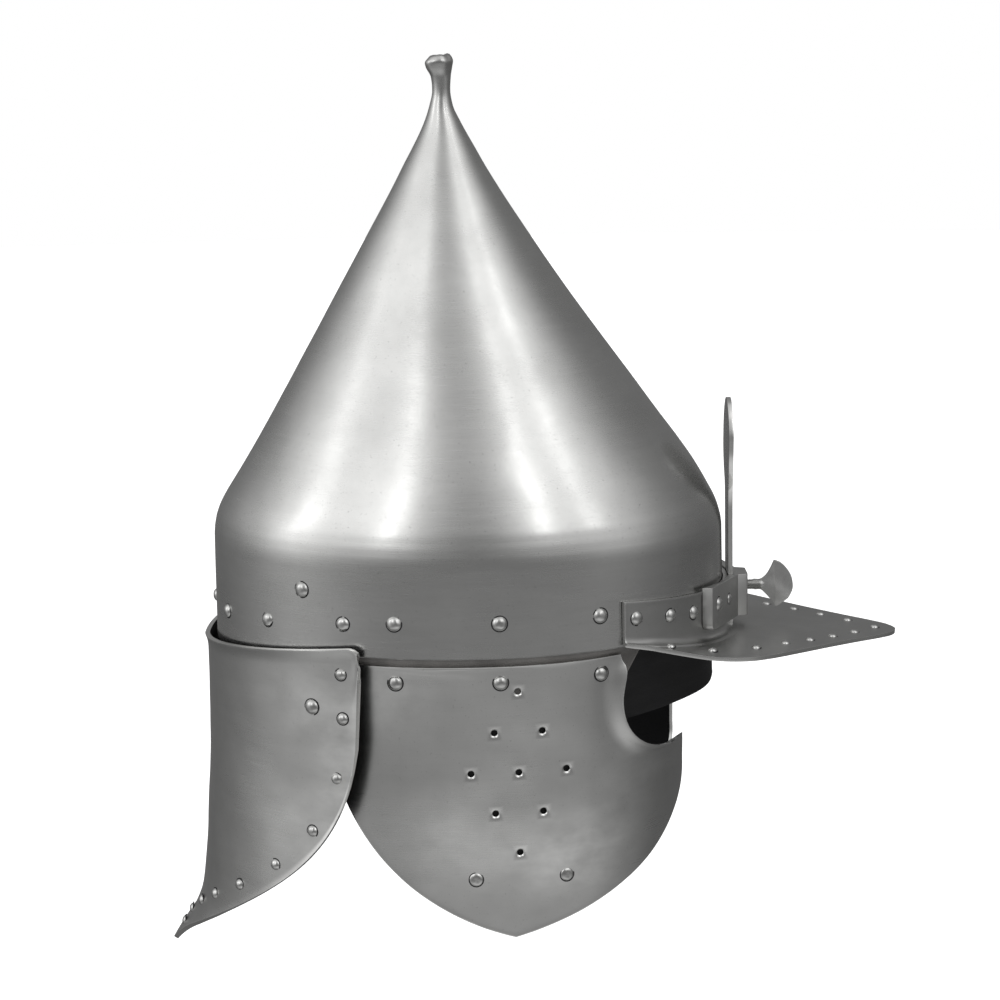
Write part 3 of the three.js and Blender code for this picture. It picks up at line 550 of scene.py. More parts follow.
# Skull
def skull_mesh(sizes):
    """One bowl: its half outline is spun, made oval row by row, and dented a little."""
    thick = sizes.sheet / MM
    ups = [0, 0.5, 1.2] + [2.5 * k for k in range(1, 17)]
    ups += [42 + 1.25 * k for k in range(1, 25)] + [72 + 3 * k for k in range(1, 46)]
    ups += [209 + 2 * k for k in range(1, 17)] + [241 + 0.8 * k for k in range(1, 16)]
    outer = [(skull_section(up)[1], up) for up in ups]
    outer[0] = (outer[0][0] - 0.5, 0)
    inner_ups = [HOLLOW_TOP, 206, 200] + [192 - 6 * k for k in range(0, 31)] + [8, 4, 1, 0]
    inner = [(skull_section(up)[1] - thick * (1.15 if up > BAND_TOP else 1), up) for up in inner_ups]
    lip = [(4.2, 253.8), (3.4, SKULL_TOP), (2.7, 253.8), (2.1, 252.9), (1.5, 251.9), (0, 251.5)]
    profile = [(0, HOLLOW_TOP)] + inner + outer + lip
    bm = bmesh.new()
    spun(bm, [(0, -radius * MM, up * MM) for radius, up in profile], sizes.skull_sides)
    bmesh.ops.recalc_face_normals(bm, faces=bm.faces)
    worn = bm.verts.layers.float.new("edge_wear_and_highlight")
    for vert in bm.verts:
        up = vert.co.z / MM
        vert[worn] = clamp(1 - up / 2.2)
        centre, half, width = skull_section(up)
        radius = math.hypot(vert.co.x, vert.co.y) / MM
        angle = math.atan2(-vert.co.x, -vert.co.y)
        outside = radius > half - 0.4 * thick
        depth = sizes.dent_depth / MM * smooth(up, 18, 60) * (1 - smooth(up, 205, 225))
        push = 0
        if outside:
            push = dent(vert.co, 34, depth) + dent(vert.co + Vector((7, 0, 0)), 15, 0.35 * depth)
        push += lip_push(angle, up) if up > 238 else 0
        grown = 1 + push / max(radius, 1)
        vert.co.x *= width / half * grown
        vert.co.y = vert.co.y * grown - centre * MM
        vert.co.z += lip_rise(angle, up) * MM
        vert.co.z -= rim_drop(-vert.co.y / MM) * (1 - clamp(up / 25)) * MM
    return bm


def rim_drop(fore):
    """How far the rim runs down behind the top of the neck guard."""
    return 9 * clamp((-80 - fore) / 36.8) ** 1.3


def lip_push(angle, up):
    """The finial's rolled lip is uneven: fuller towards the back, pinched between its two lobes."""
    waves = 0.5 * math.cos(angle - math.pi) + 0.35 * math.cos(2 * angle + 0.6) + 0.15 * math.cos(5 * angle)
    return smooth(up, 240, 250) * waves


def lip_rise(angle, up):
    """How the finial's lip rises and falls round its mouth."""
    return smooth(up, 246, 253) * (0.35 * math.cos(angle) + 0.25 * math.cos(3 * angle + 1.0) - 0.35)


# Visor
BRIM_EDGE = [
    (197.5, 0), (196.9, 3.2), (194.2, 8.6), (189.5, 13.5), (175.5, 25.4), (161.2, 38.2), (146.8, 51.8),
    (132.5, 65), (124, 71.2), (114, 75.5), (103, 78.6), (92, 80.2), (81, 81), (70.8, 84.4),
]
BRIM_HEIGHTS = [(68, 2.4), (90, -2.5), (113, -7), (130, -8.6), (197.5, -12.8)]
VISOR_SWEEP = 55.4
BRIM_BEND = 3.9
# Shares of the way down the visor's skin where the upright flange ends and where the bend ends
FLANGE_SHARE, BEND_SHARE = 0.3, 0.45


def brim_up(fore):
    return along(BRIM_HEIGHTS, fore, 1)


def flange_up(fore):
    return 20.4 - 0.1 * (fore - 67)


def edge_point(share):
    """Point of the brim's edge, 0 at the tip and 1 at the end of the flange."""
    lengths = [0.0]
    for a, b in zip(BRIM_EDGE, BRIM_EDGE[1:]):
        lengths.append(lengths[-1] + math.dist(a, b))
    rows = [(length, *spot) for length, spot in zip(lengths, BRIM_EDGE)]
    return Vector((along(rows, share * lengths[-1], 1), along(rows, share * lengths[-1], 2)))


def visor_point(across, down):
    """Middle of the sheet: across is -1 to 1 round the front, down is 0 at the flange and 1 at the edge."""
    part = abs(across)
    turn = math.radians(VISOR_SWEEP) * part
    face = FLANGE_FACE - HALF_SHEET
    root = Vector((face * math.cos(turn), face * WIDTH_RATIO * math.sin(turn)))
    out = Vector((math.cos(turn) * WIDTH_RATIO, math.sin(turn))).normalized()
    rim = edge_point(1 - (1 - part) ** 1.18)
    low = brim_up(root.x) - 0.8
    shrink = min(1.0, (rim - root).length / (2.2 * BRIM_BEND))
    if down < BEND_SHARE:
        far, up = 0.0, lerp(flange_up(root.x), low + BRIM_BEND, down / FLANGE_SHARE)
        if down >= FLANGE_SHARE:
            angle = (down - FLANGE_SHARE) / (BEND_SHARE - FLANGE_SHARE) * math.pi / 2
            far, up = BRIM_BEND * (1 - math.cos(angle)), low + BRIM_BEND * (1 - math.sin(angle))
        spot = root + out * far * shrink
    else:
        share = (down - BEND_SHARE) / (1 - BEND_SHARE)
        spot = (root + out * BRIM_BEND * shrink).lerp(rim, share)
        swell = 0.5 * math.sin(math.pi * share) * smooth((rim - root).length, 20, 60)
        up = brim_up(spot.x) - 0.8 + swell
    return place(spot.x, math.copysign(spot.y, across), up)


def grid_skin(columns, rows, move):
    """A fine grid put in place by move(across, down), both from 0 to 1."""
    bm = bmesh.new()
    bmesh.ops.create_grid(bm, x_segments=columns, y_segments=rows, size=0.5)
    for vert in bm.verts:
        vert.co = move(vert.co.x + 0.5, 0.5 - vert.co.y)
    return bm


def face_outwards(bm, centre=Vector((0, 0, 0))):
    """A single skin faces away from the head."""
    bmesh.ops.recalc_face_normals(bm, faces=bm.faces)
    outward = sum((f.calc_center_median() - centre).dot(f.normal) * f.calc_area() for f in bm.faces)
    if outward < 0:
        bmesh.ops.reverse_faces(bm, faces=bm.faces)


# Shields on the cheeks: a patch with the breathing holes, carried out to the rim in rings
CHEEK_HOLES = [
    (20.8 + (i - (count - 1) / 2) * 20.8, -15.6 - row * 18.4)
    for row, count in enumerate((1, 2, 3, 2, 1)) for i in range(count)
]
CHEEK_PATCH = {"rear": -10.4, "front": 52, "top": -8.24, "low": -98.4, "columns": 36, "rows": 49}
EYE = {"fore": 95.2, "up": -24, "reach": 30, "rise": 28.2, "power": 2.3}
CHEEK_TIP = (18.3, -128.6)
# Furthest place towards the face where the wall's curve is followed
CHEEK_WALL_END = 99.0


def bezier(points, share):
    a, b, c, d = (Vector(p) for p in points)
    rest = 1 - share
    return a * rest ** 3 + b * 3 * rest ** 2 * share + c * 3 * rest * share ** 2 + d * share ** 3


def cheek_sides():
    """The shield's outline as four runs, each a fine list of points: top, front, low and rear."""
    top = [Vector((lerp(-61, 65.6, k / 60), -4)) for k in range(61)]
    bend = 2 / EYE["power"]
    arc = [
        Vector((
            EYE["fore"] - EYE["reach"] * max(math.cos(a), 0) ** bend,
            EYE["up"] - EYE["rise"] * math.sin(a) ** bend,
        ))
        for a in (math.pi * 0.5 * k / 40 for k in range(41))
    ]
    notch = [Vector(spot) for spot in ((65.6, -4), (66.2, -6.8), (67.2, -10), (66.9, -14), (65.9, -19))]
    edge = [Vector((EYE["fore"], up)) for up in (-54, -58, -62)]
    rear_curve = ((-61, -48), (-51.2, -91), (-20.8, -116.8), CHEEK_TIP)
    front_curve = (CHEEK_TIP, (61.1, -117.1), (97.5, -98.1), (EYE["fore"], -64))
    low_front = [bezier(front_curve, 1 - k / 60) for k in range(61)]
    low_rear = [bezier(rear_curve, 1 - k / 60) for k in range(61)]
    rear = [Vector((-61, lerp(-48, -4, k / 20))) for k in range(1, 21)]
    return top, notch + arc + edge + low_front, low_rear + rear


def spread(points, count):
    """Points at even steps along a run, ends included."""
    lengths = [0.0]
    for a, b in zip(points, points[1:]):
        lengths.append(lengths[-1] + (b - a).length)
    found = []
    k = 0
    for i in range(count + 1):
        want = lengths[-1] * i / count
        while k < len(points) - 2 and lengths[k + 1] < want:
            k += 1
        span = lengths[k + 1] - lengths[k]
        found.append(points[k].lerp(points[k + 1], (want - lengths[k]) / span if span else 0))
    return found


def eye_lip(fore, up):
    """How far the sheet turns out near the eye opening: a rolled lip with a groove behind it."""
    power = EYE["power"]
    across, down = abs(fore - EYE["fore"]) / EYE["reach"], abs(up - EYE["up"]) / EYE["rise"]
    away = (across ** power + down ** power) ** (1 / power)
    gap = (away - 1) * 28
    if fore > EYE["fore"] + 4:
        return 0.0
    fade = (smooth(-up, 5, 12) if up > -12 else 1.0) * (1 - smooth(fore, 84, 94))
    lip = 2.3 * math.exp(-(max(gap, 0) / 2.6) ** 2)
    groove = 0.45 * math.exp(-((gap - 6.5) / 3.0) ** 2)
    return fade * (lip - groove)


def cheek_point(fore, up):
    """Middle of the shield's sheet. It turns out along the eye opening and is hammered a little uneven."""
    flat = wall_at(CHEEK_WALL, min(fore, CHEEK_WALL_END), up)
    uneven = dent(flat[0] + Vector((3, 0, 0)), 30, 0.35) + dent(flat[0], 13, 0.1)
    uneven *= smooth(-up, 14, 40)
    return flat[0] + flat[1] * (eye_lip(fore, up) + uneven) * MM


def cheek_skin():
    """The shield's skin: it is laid out flat, pierced, grown out to its outline and bent onto the wall."""
    patch = CHEEK_PATCH
    bm = bmesh.new()
    bmesh.ops.create_grid(bm, x_segments=patch["columns"], y_segments=patch["rows"], size=0.5)
    for vert in bm.verts:
        fore = lerp(patch["rear"], patch["front"], vert.co.x + 0.5)
        up = lerp(patch["low"], patch["top"], vert.co.y + 0.5)
        vert.co = Vector((fore, up, 0))
    pierce(bm, CHEEK_HOLES)
    ring = patch_ring(bm)
    outline = cheek_outline()
    shares = [0.22, 0.4, 0.55, 0.68, 0.78, 0.86, 0.92, 0.96, 0.985, 1.0]
    starts = [vert.co.copy() for vert in ring]
    for share in shares:
        ring = grow_ring(bm, ring, [a.lerp(b.to_3d(), share) for a, b in zip(starts, outline)])
    for vert in bm.verts:
        sunk = vert.co.z
        point = cheek_point(vert.co.x, vert.co.y)
        normal = wall_at(CHEEK_WALL, min(vert.co.x, CHEEK_WALL_END), vert.co.y)[1]
        vert.co = point + normal * sunk * MM
    return bm


def patch_ring(bm):
    """The patch's border vertices in order, from its top rear corner along the top."""
    patch = CHEEK_PATCH

    def on(vert, axis, edge):
        return abs(vert.co[axis] - patch[edge]) < 1e-3

    sides = ((0, "rear"), (0, "front"), (1, "top"), (1, "low"))
    border = [v for v in bm.verts if v.is_boundary and any(on(v, *side) for side in sides)]
    top = sorted([v for v in border if on(v, 1, "top")], key=lambda v: v.co.x)
    front = sorted([v for v in border if on(v, 0, "front") and v not in top], key=lambda v: -v.co.y)
    low = sorted([v for v in border if on(v, 1, "low") and v not in front], key=lambda v: -v.co.x)
    rear = sorted([v for v in border if v not in top + front + low], key=lambda v: v.co.y)
    return top + front + low + rear


def cheek_outline():
    """One point of the outline for each vertex of the patch's border, corners on corners."""
    columns, rows = CHEEK_PATCH["columns"], CHEEK_PATCH["rows"]
    half = columns // 2
    top, front, rear = cheek_sides()
    return spread(top, columns) + spread(front, rows + half)[1:] + spread(rear, half + rows)[1:-1]


def grow_ring(bm, ring, targets):
    """Extrudes a closed ring of vertices out to new places."""
    count = len(ring)
    edges = [bm.edges.get((ring[i], ring[(i + 1) % count])) for i in range(count)]
    made = bmesh.ops.extrude_edge_only(bm, edges=edges)["geom"]
    fresh = {v for v in made if isinstance(v, bmesh.types.BMVert)}
    following = []
    for vert in ring:
        new = next(e.other_vert(vert) for e in vert.link_edges if e.other_vert(vert) in fresh)
        following.append(new)
    for vert, target in zip(following, targets):
        vert.co = target
    return following


def pierce(bm, centres):
    """Opens a round hole with a punched-in edge at a grid vertex near each centre."""
    for fore, up in centres:
        centre = Vector((fore, up, 0))
        middle = min(bm.verts, key=lambda v: (v.co - centre).length_squared)
        inner = {v for face in middle.link_faces for v in face.verts}
        block = {f for v in inner for f in v.link_faces}
        ring = [v for v in {v for f in block for v in f.verts} if v not in inner]
        ring.sort(key=lambda v: math.atan2(v.co.y - up, v.co.x - fore))
        bmesh.ops.delete(bm, geom=list(inner), context="VERTS")
        ways = [(v.co - centre).normalized() for v in ring]
        for radius, sunk in ((2.7, 0), (2.35, -0.12), (1.95, -0.5)):
            ring = grow_ring(bm, ring, [centre + way * radius + Vector((0, 0, sunk)) for way in ways])


# Neck guard
NECK_TAIL_TURN = 12.5
NECK_LOW = ((NECK_TAIL_TURN, -141.5), (55.1, -101.5), (NECK_SPAN, -84.7), (NECK_SPAN, -9.7))


def neck_top(turn):
    return -7.2 + 12.3 * abs(turn / NECK_SPAN) ** 1.25


def neck_low(turn):
    """Height of the neck guard's lower edge at a turn from the back."""
    turn = abs(turn)
    if turn <= NECK_TAIL_TURN:
        share = clamp((-10 + math.sqrt(100 + 10 * turn)) / 5)
        return (1 - share) ** 2 * -157 + 2 * share * (1 - share) * -148 + share ** 2 * -141.5
    low, high = 0.0, 1.0
    for _ in range(24):
        middle = (low + high) / 2
        low, high = (middle, high) if bezier(NECK_LOW, middle).x < turn else (low, middle)
    return bezier(NECK_LOW, low).y


def neck_skin_point(turn, up, out=0.0):
    return turn_at(NECK_WALL, turn, up, out, along(NECK_FLARE, up, 1))


def neck_point(across, down):
    """Middle of the neck guard's sheet, with rolled edges, clipped corners and hammered unevenness."""
    turn = (across * 2 - 1) * NECK_SPAN
    corner = 4.5 * max(0, (abs(turn) - NECK_SPAN + 2.5) / 2.5) ** 2
    top, low = neck_top(turn) - corner * 0.5, neck_low(turn)
    up = lerp(top, low, down)
    rolled = 0.9 * math.exp(-((top - up) / 3.2) ** 2)
    rolled += 0.5 * math.exp(-((NECK_SPAN - abs(turn)) * 1.9 / 3.5) ** 2) * smooth(-up, 0, 12)
    point, normal = neck_skin_point(turn, up, rolled)
    uneven = dent(point + Vector((0, 5, 0)), 26, 0.4) + dent(point + Vector((0, 9, 0)), 12, 0.12)
    point += normal * uneven * smooth(top - up, 3, 22) * smooth(up + 157, 8, 30) * MM
    return point


# Straps and lining
def cheek_strap_move(across, down):
    """Middle of a cheek guard's hanger, which runs from inside the skull's band to inside the guard."""
    up = lerp(25, -21, down)
    drawn = clamp(-up / 21)
    fore = lerp(lerp(78.5, 65.4, drawn), lerp(-48.8, -41.8, drawn), across)
    high, _ = wall_at(skull_wall(0), fore, up, -SHEET - HALF_SHEET - HALF_LEATHER)
    low, _ = wall_at(CHEEK_WALL, min(fore, 92), up, -HALF_SHEET - GAP - HALF_LEATHER)
    return high.lerp(low, smooth(-up, 0, 4))


def neck_strap_move(across, down):
    turn, up = 53.2 + (across * 2 - 1) * 6, lerp(36, -33, down)
    high, _ = turn_at(skull_wall(0), turn, up, -SHEET - HALF_SHEET - HALF_LEATHER)
    low, _ = turn_at(NECK_WALL, turn, up, -HALF_SHEET - GAP - HALF_LEATHER)
    return high.lerp(low, smooth(-up, 2, 14))


def cheek_lining_move(across, down):
    """The black panel inside a cheek guard, below its strap."""
    edge = [(-44, -72), (-30, -91), (-8, -108), (18, -119), (42, -112), (62, -100)]
    fore = lerp(62, -44, across)
    up = lerp(-23, along(edge, fore, 1), down)
    return wall_at(CHEEK_WALL, fore, up, -2.35)[0]


def mirror_skin(bm, hand):
    """The wearer's right side as built, or its mirror image."""
    if hand < 0:
        bmesh.ops.scale(bm, vec=(-1, 1, 1), verts=bm.verts)
        bmesh.ops.reverse_faces(bm, faces=bm.faces)
    return bm


def liner_skin():
    """Half-way surface of the lining band, with a rolled hem below."""
    half = 1.5
    wall = skull_wall(0, SHEET + HALF_SHEET + 2 * HALF_LEATHER + 2 * GAP + half)
    high_fore, high_side = wall["length"], wall["width"]
    low_fore, low_side = 112.9 - half, 78 - half

    def move(across, down):
        angle = math.tau * across
        hem = max(-32.5 - 0.12 * low_fore * (1 - math.cos(angle)), -39)
        up = lerp(44, hem, down)
        share = clamp((30 - up) / 60)
        drawn = 0.55 * max(0, up - 30) / 14
        fore = lerp(high_fore, low_fore, share) - drawn
        side = lerp(high_side, low_side, share) - drawn
        ripple = 1 - 0.006 * smooth(-up, -5, 28) * (0.5 + 0.5 * math.sin(9 * angle + 2 * math.sin(3 * angle)))
        return place(fore * math.cos(angle) * ripple, side * math.sin(angle) * ripple, up)

    bm = grid_skin(220, 40, move)
    bmesh.ops.remove_doubles(bm, verts=bm.verts, dist=1e-5)
    face_outwards(bm)
    return bm


# Rivets
RIVET_DOME = [(0, 1), (0.3, 0.965), (0.55, 0.84), (0.76, 0.6), (0.9, 0.34), (0.98, 0.12)]
RIVET_SIDES = 28
RIVET_ROUGH = 0.12


def rivet_mesh(spots, head, dome, flat):
    """Domed heads struck by hand: they lean and are a little out of round. A spot is a point and a normal."""
    bm = bmesh.new()
    profile = [(r * head, dome * min(z, 1 - flat)) for r, z in RIVET_DOME]
    profile += [(head, 0.02), (head + 0.42, 0.03), (head + 0.4, -0.3)]
    for point, normal in spots:
        part = bmesh.new()
        spun(part, [(r * MM, 0, z * MM) for r, z in profile], RIVET_SIDES)
        bmesh.ops.holes_fill(part, edges=[e for e in part.edges if e.is_boundary], sides=0)
        bmesh.ops.recalc_face_normals(part, faces=part.faces)
        for face in part.faces:
            # The skirt round each head takes the dark material, a painted contact shade.
            face.material_index = int(face.calc_center_median().xy.length > head * MM)
        seed = point * 900
        for vert in part.verts:
            if vert.co.z > 0:
                vert.co.z += noise.noise(vert.co / (1.7 * MM) + seed) * RIVET_ROUGH * MM
                vert.co.x *= 1 + 0.03 * noise.noise(seed)
        lean = Vector([noise.noise(seed + Vector((20 * k, 0, 0))) for k in range(3)]) * 0.06
        turn = Vector((0, 0, 1)).rotation_difference((normal + lean).normalized())
        matrix = Matrix.Translation(point) @ turn.to_matrix().to_4x4()
        bmesh.ops.transform(part, matrix=matrix, verts=part.verts)
        mesh = bpy.data.meshes.new("part")
        part.to_mesh(mesh)
        part.free()
        bm.from_mesh(mesh)
        bpy.data.meshes.remove(mesh)
    return bm


def rivet_object(name, spots, head, dome, nodes=(), flat=0.0):
    """Rivet heads as one piece: the domes are bright, and the ring that they sit in is dark, painted shade
    where the head meets the plate.
    """
    bright = steel("rivet_steel", tint=0.95, roughness=0.22, grain=0.5, mottle=0.6, wear=0)
    bm = rivet_mesh(spots, head, dome, flat)
    # Painted shade: the dark ring round each head stands in for the shadow where it meets the plate.
    obj = finish_mesh(name, bm, [bright, blackened("rivet_seat_painted_shade")], math.radians(60))
    belong(obj, "shell", "bright_steel", *nodes)


def flipped(spot):
    """The same spot on the helmet's other side."""
    point, normal = spot
    return Vector((-point.x, point.y, point.z)), Vector((-normal.x, normal.y, normal.z))


# Settings that a user would change
class HelmetSizes(bpy.types.PropertyGroup):
    sheet: FloatProperty(
        name="Sheet", description="Thickness of the steel sheet", default=SHEET * MM, unit="LENGTH",
    )
    dent_depth: FloatProperty(
        name="Dents", description="Depth of the soft dents in the skull", default=0.22 * MM, unit="LENGTH",
    )
    skull_sides: IntProperty(
        name="Skull steps", description="Steps of the skull's full turn", default=216, min=48,
    )
    rivet_head: FloatProperty(
        name="Rivet head", description="Radius of a rivet head", default=3.1 * MM, unit="LENGTH",
    )


class HelmetLook(bpy.types.PropertyGroup):
    steel: FloatVectorProperty(
        name="Steel", description="Colour of the steel", default=(0.60, 0.60, 0.59), subtype="COLOR",
    )
    leather: FloatVectorProperty(
        name="Leather", description="Colour of the straps", default=(0.26, 0.25, 0.24), subtype="COLOR",
    )
    lining: FloatVectorProperty(
        name="Lining", description="Colour of the lining", default=(0.006, 0.006, 0.007), subtype="COLOR",
    )
    grain_depth: FloatProperty(
        name="Grain depth", description="Depth of the brushed grain", default=0.00002, unit="LENGTH",
        precision=6,
    )


class HelmetStudio(bpy.types.PropertyGroup):
    lens: FloatProperty(
        name="Lens", description="Focal length for a 36 mm sensor", default=95.1, unit="CAMERA",
    )
    floor_drop: FloatProperty(
        name="Floor", description="Height of the floor under the held helmet", default=-0.55, unit="LENGTH",
    )
    light: FloatProperty(name="Light", description="Strength of all the lights together", default=1.0)


# Operators
class HELMET_OT_skull(bpy.types.Operator):
    """Builds the skull with its cone and finial"""
    bl_idname = "helmet.skull"
    bl_label = "Skull"

    def execute(self, context):
        bm = skull_mesh(context.scene.helmet_sizes)
        for face in bm.faces:
            if face.calc_center_median().z < (HOLLOW_TOP + 1) * MM and is_inner_face(face):
                face.material_index = 1
        finishes = [steel("bowl_steel", roughness=0.25), blackened("blackened_inside")]
        belong(finish_mesh("skull_bowl", bm, finishes), "shell", "steel", "skull")
        return {"FINISHED"}


def is_inner_face(face):
    """True on the hollow side of the skull, whose faces look towards its axis."""
    centre = face.calc_center_median()
    inward = Vector((centre.x, centre.y, 0))
    return face.normal.dot(inward) < -1e-9 or (centre.z > 0.2 and face.normal.z < -0.9)


class HELMET_OT_visor(bpy.types.Operator):
    """Builds the visor: the flange round the skull and the pointed brim"""
    bl_idname = "helmet.visor"
    bl_label = "Visor"

    def execute(self, context):
        bm = grid_skin(180, 60, lambda across, down: visor_point(across * 2 - 1, down))
        face_outwards(bm, Vector((0, 0, -0.1)))
        finish = steel("brim_steel", tint=0.82, roughness=0.34)
        obj = plate("visor_sheet", bm, [finish], 4.0, (1.5, 1.8, 0.45))
        belong(obj, "shell", "steel", "visor")
        places = [(fore, hand * side) for fore, side in BRIM_RIVETS for hand, _ in HANDS]
        places.append((BRIM_TIP_RIVET, 0))
        spots = [(place(fore, side, brim_up(fore) + 0.05), Vector((0, 0, 1))) for fore, side in places]
        rivet_object("brim_rivets", spots, 2.1, 1.35)
        return {"FINISHED"}


class HELMET_OT_nasal(bpy.types.Operator):
    """Builds the nasal bar, the bracket that guides it and its wing screw"""
    bl_idname = "helmet.nasal"
    bl_label = "Nasal"

    def execute(self, context):
        build_bar()
        build_bracket()
        build_screw()
        return {"FINISHED"}


# Half-width of the nasal bar at a height: parallel, widening to a leaf at the top
BAR_ROWS = [
    (-18, 0.4), (-17.2, 3.6), (-16, 6.2), (-13, 8.3), (-10, 8.5), (47, 8.5), (55, 9.6), (64, 13.6),
    (74, 15.8), (80, 15.9), (88, 13.0), (94, 7.6), (96.4, 3.6), (97, 0.4),
]
BAR_FACE = 120.2


def build_bar():
    bar_low, bar_high = BAR_ROWS[0][0], BAR_ROWS[-1][0]

    def move(across, down):
        share = 0.5 - 0.5 * math.cos(math.pi * down)
        up = lerp(bar_high, bar_low, lerp(down, share, 0.75))
        side = (across * 2 - 1) * along(BAR_ROWS, up, 1)
        wave = 0.3 * noise.noise(Vector((side * 0.03, up * 0.05, 3.0))) * smooth(up, 40, 56)
        return place(BAR_FACE + wave, side, up)

    bm = grid_skin(16, 110, move)
    face_outwards(bm)
    finish = steel("bar_steel", tint=0.95, roughness=0.28, mottle=1.4)
    belong(plate("nasal_bar_forged", bm, [finish], 3.0, (2.0, 2.0, 0.4)), "nasal", "steel", "nasal_bar")


# Bracket: the bar's slot, the ends and the foot of the boss as reach and side, the lower edge and the height
BRACKET = {
    "slot": 9.0, "slot_fore": 121.5, "end": (108.3, 52), "boss": (123.6, 8.7), "low": -3.6, "tall": 19.4,
}


def build_bracket():
    length, width = FLANGE_FACE + GAP, FLANGE_FACE * WIDTH_RATIO + GAP
    slot, slot_fore, low = BRACKET["slot"], BRACKET["slot_fore"], BRACKET["low"]

    def on_flange(side):
        return length * math.sqrt(1 - (side / width) ** 2)

    half = [(on_flange(slot) + 0.2, slot)] + [(on_flange(side), side) for side in range(14, 51, 6)]
    half += [BRACKET["end"], BRACKET["boss"], (127.3, 7.5), (128.3, 6.5)]
    ring = [(slot_fore, -slot), (slot_fore, slot), *half, *[(fore, -side) for fore, side in reversed(half)]]
    bm = block([place(fore, side, low) for fore, side in ring], (0, 0, BRACKET["tall"] * MM))

    def is_low_end(edge):
        return all(abs(v.co.z - low * MM) < 1e-6 and abs(v.co.x) > 49 * MM for v in edge.verts)

    round_edges(bm, [e for e in bm.edges if is_low_end(e)], 3.2, segments=5)
    outer = [e for e in sharp_edges(bm, 35) if -min(v.co.y for v in e.verts) / MM > 106]
    round_edges(bm, outer, 0.9)
    for vert in bm.verts:
        vert.co.z += 3 * MM * max(0, (abs(vert.co.x) / MM - slot) / 42)
    finish = steel("bracket_steel", tint=0.98, roughness=0.32, mottle=1.5)
    obj = finish_mesh("nasal_bracket_block", bm, [finish], math.radians(50))
    belong(obj, "shell", "steel", "nasal_bracket")


# Wing screw: the blade's outline as reach and height, how far it is moved, half its thickness, and the stem
WING = [
    (137.0, 2.2), (139.8, 4.2), (141.8, 7.4), (143.3, 10.6), (143.8, 11.0), (146.6, 9.9), (149.2, 7.4),
    (151.2, 4.3), (152.1, 0.6), (152.0, -2.6), (150.6, -5.7), (149.3, -7.3), (144.2, -10.4), (142.9, -8.4),
    (141.0, -6.2), (138.8, -3.8), (137.0, -2.4), (133.6, -2.1), (133.6, 2.0),
]
WING_SHIFT = (-2.4, 9.4)
WING_HALF = 1.2
STEM = {"root": 121.5, "up": 9.3, "radius": 2.4, "groove": 2.12, "length": 14.4, "threads": 12}


def build_screw():
    """The wing screw: a crescent blade on a short threaded stem, seen flat from the side."""
    outline = [
        place(fore + WING_SHIFT[0], WING_HALF, up + WING_SHIFT[1]) for fore, up in smooth_loop(WING, 4)
    ]
    bm = block(outline, (2 * WING_HALF * MM, 0, 0))
    round_edges(bm, sharp_edges(bm, 60), 0.55)
    radius, length = STEM["radius"], STEM["length"]
    profile = [(0, 0), (radius, 0)]
    for k in range(STEM["threads"]):
        profile += [(radius, 7.2 + k * 0.5), (STEM["groove"], 7.45 + k * 0.5)]
    profile += [(2.3, 13.4), (1.9, length), (1.2, length + 0.8), (0, length + 1)]
    stem = [(r * MM, -(STEM["root"] + far) * MM, STEM["up"] * MM) for r, far in profile]
    spun(bm, stem, 32, (0, 0, STEM["up"] * MM), (0, 1, 0))
    bmesh.ops.recalc_face_normals(bm, faces=bm.faces)
    finish = steel("screw_steel", tint=1.05, roughness=0.24, grain=0.6, mottle=1.3)
    obj = finish_mesh("wing_screw_forged", bm, [finish], math.radians(35))
    # Edge wear and a painted highlight: the blade's edges are marked so that the steel paints them brighter.
    values = [clamp(1 - abs(abs(v.co.x) - WING_HALF * MM) / (0.5 * MM)) * 0.9 for v in obj.data.vertices]
    obj.data.attributes.new("edge_wear_and_highlight", "FLOAT", "POINT").data.foreach_set("value", values)
    belong(obj, "wing_screw", "bright_steel", "wing_screw")


def smooth_loop(points, steps):
    """A closed outline with more points, rounded between the given ones."""
    spots = [Vector(p) for p in points]
    count = len(spots)
    found = []
    for i in range(count):
        a, b, c, d = (spots[(i + k - 1) % count] for k in range(4))
        for k in range(steps):
            t = k / steps
            bend, twist = 2 * a - 5 * b + 4 * c - d, 3 * b - a - 3 * c + d
            found.append(0.5 * (2 * b + (c - a) * t + bend * t ** 2 + twist * t ** 3))
    return found


class HELMET_OT_cheek_guards(bpy.types.Operator):
    """Builds both cheek guards with their breathing holes and the turned-out eye edge"""
    bl_idname = "helmet.cheek_guards"
    bl_label = "Cheek guards"

    def execute(self, context):
        for hand, side in HANDS:
            bm = mirror_skin(cheek_skin(), hand)
            face_outwards(bm)
            finishes = [steel("guard_steel"), blackened("blackened_inside")]
            obj = plate(f"cheek_shield_{side}", bm, finishes, 3.5, (1.4, 1.6, 0.4), CHEEK_PAINTED_SHEEN)
            belong(obj, "shell", "steel", f"cheek_guard_{side}")
            spots = [wall_at(CHEEK_WALL, fore, up, HALF_SHEET) for fore, up in CHEEK_LOW_RIVETS]
            spots = spots if hand > 0 else [flipped(s) for s in spots]
            rivet_object(f"cheek_low_rivets_{side}", spots, 3.0, 1.0, flat=0.25)
        return {"FINISHED"}


